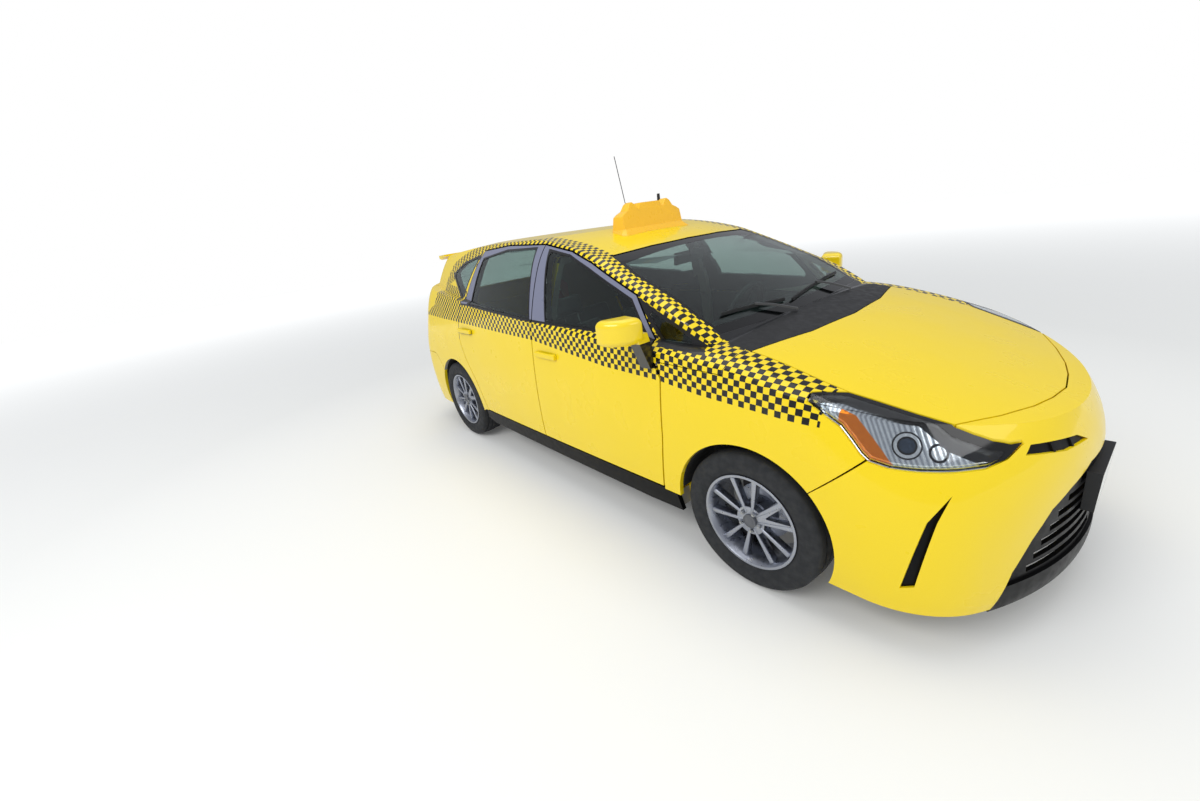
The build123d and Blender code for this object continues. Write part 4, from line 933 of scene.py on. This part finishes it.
# %% Four wheels
# The wheels stand turned a little, with one pair of spokes near the top
STANDING_ANGLE = math.radians(-28)
to_hub = Matrix.Translation(FRONT_LEFT)
standing = to_hub @ Matrix.Rotation(STANDING_ANGLE, 4, "Y") @ to_hub.inverted()


def from_front_left(spot, corner):
    """Matrix from the front left wheel's place to another wheel's, mirrored for the right-hand side."""
    matrix = Matrix.Translation((spot.x - FRONT_LEFT.x, 0, 0))
    if "right" in corner:
        matrix = matrix @ Matrix.Scale(-1, 4, (0, 1, 0))
    return matrix


wheel_spots = {}
for corner in ("front_left", "front_right", "rear_left", "rear_right"):
    low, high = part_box("wheel_" + corner)
    flip = "right" in corner
    spot = Vector(((low[0] + high[0]) / 2, -FRONT_LEFT.y if flip else FRONT_LEFT.y, (low[2] + high[2]) / 2))
    wheel_spots[corner] = spot
    matrix = from_front_left(spot, corner) @ standing
    body = corner + "_wheel_body"
    rim = settle(copied(wheel_shape, "rim", matrix, flip), "alloy_wheel_" + corner, alloy, body)
    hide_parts("wheel_" + corner)
    settle(copied(nut, "nuts", matrix, flip), "wheel_nuts_" + corner, nut_steel, body)
    settle(copied(cap, "cap", matrix, flip), "wheel_cap_" + corner, cap_plastic, body)
for source in (wheel_shape, nut, cap):
    bpy.data.objects.remove(source)
print("wheels at", [tuple(round(v, 3) for v in spot) for spot in wheel_spots.values()])

# %% [markdown]
# ## Tyres
# Road tyres 205 mm wide. The solid has the outline without tread. A merged copy is cut by planes at the
# edges of four grooves, and the bands between them are pushed in 7 mm. It is done on one tyre, which is then
# copied. The cross sipes are finer than the render shows, so the rubber's grain stands for them.

# %% Tyres
# Grooves round the tyre: place across the tread, width
GROOVES = ((-0.058, 0.008), (-0.020, 0.009), (0.020, 0.009), (0.058, 0.008))
TYRE_RADIUS = 0.326
TREAD_DEPTH = 0.007
TREAD_FOOT = 0.312
tyre_shape = merged_copy("tyre_front_left")
edit_all(tyre_shape)
for middle, width in GROOVES:
    for edge in (middle - width / 2, middle + width / 2):
        mesh.select_all(action="SELECT")
        mesh.bisect(plane_co=(0, FRONT_LEFT.y + edge, 0), plane_no=(0, 1, 0))


def in_groove(centre, normal):
    """Tread faces inside one of the grooves."""
    reach = math.hypot(centre.x - FRONT_LEFT.x, centre.z - FRONT_LEFT.z)
    side = centre.y - FRONT_LEFT.y
    within = any(abs(side - middle) < width / 2 - 0.0005 for middle, width in GROOVES)
    return reach > TREAD_FOOT and within


pick_faces(tyre_shape, in_groove)
shrink = (TYRE_RADIUS - TREAD_DEPTH) / TYRE_RADIUS
mesh.extrude_region_move(TRANSFORM_OT_translate={"value": (0, 0, 0)})
bpy.ops.transform.resize(value=(shrink, 1, shrink), center_override=FRONT_LEFT)
bpy.ops.object.mode_set(mode="OBJECT")
print("tyre faces", len(tyre_shape.data.polygons))
for corner, spot in wheel_spots.items():
    piece = copied(tyre_shape, "tread", from_front_left(spot, corner), "right" in corner)
    settle(piece, "road_tyre_" + corner, tyre_rubber, corner + "_wheel_body", 30.0)
    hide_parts("tyre_" + corner)
bpy.data.objects.remove(tyre_shape)

# %% [markdown]
# ## Seats
# The front seats and the rear bench are foam pads in cloth covers. Each pad starts as a rounded block, is
# remeshed to an even skin, and gets its crown, the sides that pull in between the corners, and sewn
# channels. A cloth simulation would give freer folds, but foam under a tight cover hardly wrinkles. The
# solids behind them are plain blocks of the right size.

# %% One padded block
SIDE_PULL = 0.012
CHANNEL_WIDTH = 0.007
CHANNEL_DEPTH = 0.009


def channel(distance):
    """Depth of a sewn channel at a distance from its line."""
    return CHANNEL_DEPTH * math.exp(-(distance / CHANNEL_WIDTH) ** 2)


def pad(size, crown, lines, voxel=0.014, ease=0.035):
    """Padded block about its own middle: size in metres, crown on top, sewn lines as ("x" or "y", place)."""
    piece = block(size)
    round_edges(piece, ease, 4, 30.0)
    piece.data.remesh_voxel_size = voxel
    bpy.ops.object.voxel_remesh()
    half = [v / 2 for v in size]
    for vertex in piece.data.vertices:
        x, y, z = vertex.co
        u, v, w = x / half[0], y / half[1], z / half[2]
        pull = SIDE_PULL * (1 - w * w)
        vertex.co.x -= math.copysign(pull * max(abs(u) - 0.5, 0.0) * 2 * (1 - v * v), x)
        vertex.co.y -= math.copysign(pull * max(abs(v) - 0.5, 0.0) * 2 * (1 - u * u), y)
        if z > 0:
            sink = crown * (1 - (1 - u * u) * (1 - v * v))
            for way, place in lines:
                sink += channel((x if way == "x" else y) - place)
            vertex.co.z -= sink * min(w * 2, 1.0)
    modify(piece, "SMOOTH", iterations=2, factor=0.4)
    modify(piece, "SUBSURF", levels=1)
    return piece


print("channels", CHANNEL_WIDTH * 1000, "mm wide")

# %% Pads in their places
FRONT_LEAN = 18.0
REAR_LEAN = 22.0
SEAT_SIDE = 0.350
# Feet of the backrests: along the car and height, and for the bench its whole place
FRONT_FOOT = (-0.2126, 0.440)
REAR_FOOT = (-0.9702, 0, 0.4739)
# Distances up the front backrest: middle of its pad, of the headrest's posts and of the headrest
BACK_UP, POST_UP, HEADREST_UP = 0.265, 0.555, 0.655


def upward(angle):
    """Direction up a backrest that leans back by an angle."""
    slope = math.radians(angle)
    return Vector((-math.sin(slope), 0, math.cos(slope)))


def on_back(foot, angle, reach):
    """Sets a pad's middle up a backrest, its top facing forward and its own x axis across the car."""
    up = upward(angle)
    facing = Matrix(((0, 1, 0), up, (up.z, 0, -up.x))).transposed().to_4x4()
    return Matrix.Translation(Vector(foot) + reach * up) @ facing


def seat_piece(source, name, matrix, stands_for):
    """A placed copy of a pad that rides on the body and stands for a soft solid."""
    piece = settle(copied(source, name, matrix), name, seat_cloth, "body", 60.0)
    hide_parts(stands_for)


cushion = pad((0.522, 0.482, 0.150), 0.016, (("y", -0.135), ("y", 0.135), ("x", 0.10)))
front_back = pad((0.472, 0.522, 0.104), 0.014, (("x", -0.135), ("x", 0.135), ("y", 0.06)))
head_pad = pad((0.236, 0.146, 0.086), 0.010, (("y", -0.045),), 0.010, 0.028)
bench = pad((0.502, 1.232, 0.144), 0.012, (("y", -0.20), ("y", 0.20), ("x", 0.08)), 0.018)
bench_back = pad((1.192, 0.432, 0.104), 0.012, (("x", -0.20), ("x", 0.20), ("y", 0.05)), 0.018)
for side, y in (("left", SEAT_SIDE), ("right", -SEAT_SIDE)):
    foot = (FRONT_FOOT[0], y, FRONT_FOOT[1])
    level = Matrix.Translation((0.105, y, 0.4225))
    seat_piece(cushion, "front_cushion_" + side, level, "front_seat_cushions")
    seat_piece(front_back, "front_back_" + side, on_back(foot, FRONT_LEAN, BACK_UP), "front_seat_backs")
    seat_piece(head_pad, "headrest_" + side, on_back(foot, FRONT_LEAN, HEADREST_UP), "front_seat_backs")
seat_piece(bench, "rear_cushion", Matrix.Translation((-0.675, 0, 0.4255)), "rear_seat_cushion")
seat_piece(bench_back, "rear_back", on_back(REAR_FOOT, REAR_LEAN, 0.220), "rear_seat_back")
for source in (cushion, front_back, head_pad, bench, bench_back):
    bpy.data.objects.remove(source)
print("seats padded")

# %% Headrest posts
# Two bright steel posts under each headrest
let_go()
mesh.primitive_cylinder_add(vertices=16, radius=0.006, depth=0.09)
stalk = bpy.context.object
pick_faces(stalk, lambda centre, normal: abs(normal.z) > 0.9)
mesh.inset(thickness=0.001)
mesh.extrude_region_move(TRANSFORM_OT_translate={"value": (0, 0, 0)})
bpy.ops.object.mode_set(mode="OBJECT")
for side, y in (("left", SEAT_SIDE), ("right", -SEAT_SIDE)):
    for step in (-0.06, 0.06):
        middle = Vector((FRONT_FOOT[0], y + step, FRONT_FOOT[1])) + POST_UP * upward(FRONT_LEAN)
        matrix = Matrix.Translation(middle) @ Matrix.Rotation(math.radians(-FRONT_LEAN), 4, "Y")
        name = "headrest_post_" + side + ("_in" if step * y < 0 else "_out")
        post = settle(copied(stalk, "stalk", matrix), name, steel, "body")
        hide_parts("front_seat_backs")
bpy.data.objects.remove(stalk)
print("posts under the headrests")

# %% [markdown]
# ## Roof sign
# A moulded light box. The solid has the outline of the two domes; the moulding's edges are rounded here.

# %% Roof sign
sign = merged_copy("roof_sign")
edit_all(sign)
mesh.dissolve_limited(angle_limit=math.radians(1.5))
round_edges(sign, 0.006, 3, 28.0)
settle(sign, "sign_moulding", sign_plastic, "body", 40.0)
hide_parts("roof_sign")
print("sign faces", len(sign.data.polygons))

# %% [markdown]
# ## Wipers
# Two arms stand on the cowl at the foot of the screen. Each blade and arm is modelled as a straight bar
# with a narrower top, cut into short lengths, and bent along points that are found on the glass itself. A
# straight blade would cut into the curved screen.

# %% Wipers
def on_glass(x, y, lift):
    """Point above the outer face of the windscreen, or of the cowl in front of it."""
    for sheet in ("windscreen", "cowl_panel"):
        hit, place, normal, index = nodes[sheet].ray_cast((x, y, 2.0), (0, 0, -1))
        if hit:
            return place + normal * lift


def bent_bar(name, width, height, points, finish, cuts=24):
    """Straight bar with a tapering top that follows a line of points."""
    length = sum((b - a).length for a, b in zip(points, points[1:]))
    bar = block((length, width, height), (length / 2, 0, 0))
    pick_faces(bar, lambda centre, normal: normal.z > 0.9)
    mesh.inset(thickness=width * 0.28)
    bpy.ops.transform.translate(value=(0, 0, height * 0.25))
    for step in range(1, cuts):
        mesh.select_all(action="SELECT")
        mesh.bisect(plane_co=(length * step / cuts, 0, 0), plane_no=(1, 0, 0))
    data = bpy.data.curves.new(name + "_line", "CURVE")
    data.dimensions = "3D"
    spline = data.splines.new("POLY")
    spline.points.add(len(points) - 1)
    for point, place in zip(spline.points, points):
        point.co = (*place, 1.0)
    line = placed(name + "_line", data)
    modify(bar, "CURVE", object=line)
    bpy.data.objects.remove(line)
    settle(bar, name, finish, "body", 30.0)


# Pivot of the arm, inner end and outer end of the blade: along the car, to the left
WIPERS = {
    "left": ((1.195, 0.400), (1.045, 0.540), (1.125, -0.080)),
    "right": ((1.195, -0.150), (1.110, -0.130), (1.045, -0.545)),
}
STEPS = 12
# Heights over the glass, and how far along the arm its knee lies
BLADE_LIFT = 0.009
FOOT_LIFT = 0.012
ARM_OVER_BLADE = 0.010
KNEE_RISE = 0.006
KNEE_SHARE = 0.55
for side, (pivot, near, far) in WIPERS.items():
    shares = [i / STEPS for i in range(STEPS + 1)]
    line = [(near[0] + (far[0] - near[0]) * t, near[1] + (far[1] - near[1]) * t) for t in shares]
    run = [on_glass(*place, BLADE_LIFT) for place in line]
    bent_bar("wiper_blade_" + side, 0.010, 0.012, run, seal_rubber)
    middle = run[STEPS // 2] + Vector((0, 0, ARM_OVER_BLADE))
    foot = on_glass(*pivot, FOOT_LIFT)
    print("wiper", side, "stands at", [round(v, 3) for v in foot])
    knee = foot.lerp(middle, KNEE_SHARE) + Vector((0, 0, KNEE_RISE))
    bent_bar("wiper_arm_" + side, 0.016, 0.009, [foot, knee, middle], gloss_black, 10)
print("wipers on the glass")

# %% [markdown]
# ## Mirrors
# The silvered glass of the two door mirrors and of the cabin mirror. Each is a thin plate with a ground
# edge, set close to its housing, because a bare housing would look like a closed box from behind.

# %% Mirror glass
for side, sign_y in (("left", 1), ("right", -1)):
    glass = block((0.004, 0.100, 0.070))
    round_edges(glass, 0.0015, 2, 30.0)
    glass.rotation_euler = (0, 0, sign_y * math.atan2(0.054, 0.125))
    glass.location = (0.7640, sign_y * 0.9455, 1.137)
    settle(glass, "door_mirror_glass_" + side, mirror_silver, "front_door_" + side + "_body", 40.0)
low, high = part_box("interior_mirror")
glass = block((0.003, 0.226, 0.046), (low[0] + 0.0005, 0, 1.330))
round_edges(glass, 0.001, 2, 30.0)
settle(glass, "cabin_mirror_glass", mirror_silver, "body", 40.0)
print("mirror glass set")

# %% [markdown]
# ## Floor and light
# A plain pale floor and large soft lamps, as in a studio for cars. The backdrop is white where the camera
# or clear glass looks at it, and grey where it lights the car or is mirrored in it, so that the yellow isn't
# washed out.

# %% Stage
world = bpy.data.worlds.new("studio")
scene.world = world
world.use_nodes = True
SKY_ON_CAR = (0.59, 0.61, 0.64, 1.0)
SKY_IN_PAINT = (0.42, 0.43, 0.46, 1.0)
sky = Tree(world.node_tree)
ray = sky.add("LightPath").node.outputs
seen = sky.add("MAXIMUM", ray["Is Camera Ray"], ray["Is Transmission Ray"])
shade = sky.add("MixRGB", seen, SKY_ON_CAR, "FFFFFF")
shade = sky.add("MixRGB", ray["Is Glossy Ray"], shade, SKY_IN_PAINT)
background = sky.tree.nodes["Background"].inputs
sky.fill(background["Color"], shade)
sky.fill(background["Strength"], 1.0)

mesh.primitive_plane_add(size=60.0)
floor = bpy.context.object
floor.name = "floor"
floor_finish = Finish("pale floor", "E9E9E6", 0.8)
# Far from the car the floor fades into the white backdrop: distances, glow at each
FADE = (4.5, 16.0, 0.05, 0.56)
reach = floor_finish.add("VectorMath LENGTH", floor_finish.place, output="Value")
floor_finish.give("Emission Strength", floor_finish.add("MapRange", reach, *FADE))
floor_finish.give("Emission Color", "FFFFFF")
floor.data.materials.append(floor_finish.material)


def lamp(name, place, aim, size, power):
    """Large soft area lamp."""
    data = bpy.data.lights.new(name, "AREA")
    data.shape = "RECTANGLE"
    data.size, data.size_y = size
    data.energy = power
    item = placed(name, data)
    item.location = place
    item.rotation_mode = "QUATERNION"
    item.rotation_quaternion = (Vector(aim) - Vector(place)).to_track_quat("-Z", "Y")


lamp("key", (1.0, -6.5, 6.0), (0.0, 0.0, 0.6), (6.0, 3.0), 285.0)
lamp("top", (0.0, 0.0, 7.5), (0.0, 0.0, 0.0), (7.0, 5.0), 150.0)
lamp("front", (7.5, 0.5, 4.0), (0.5, 0.0, 0.6), (4.0, 3.0), 80.0)
scene.view_settings.view_transform = "Standard"
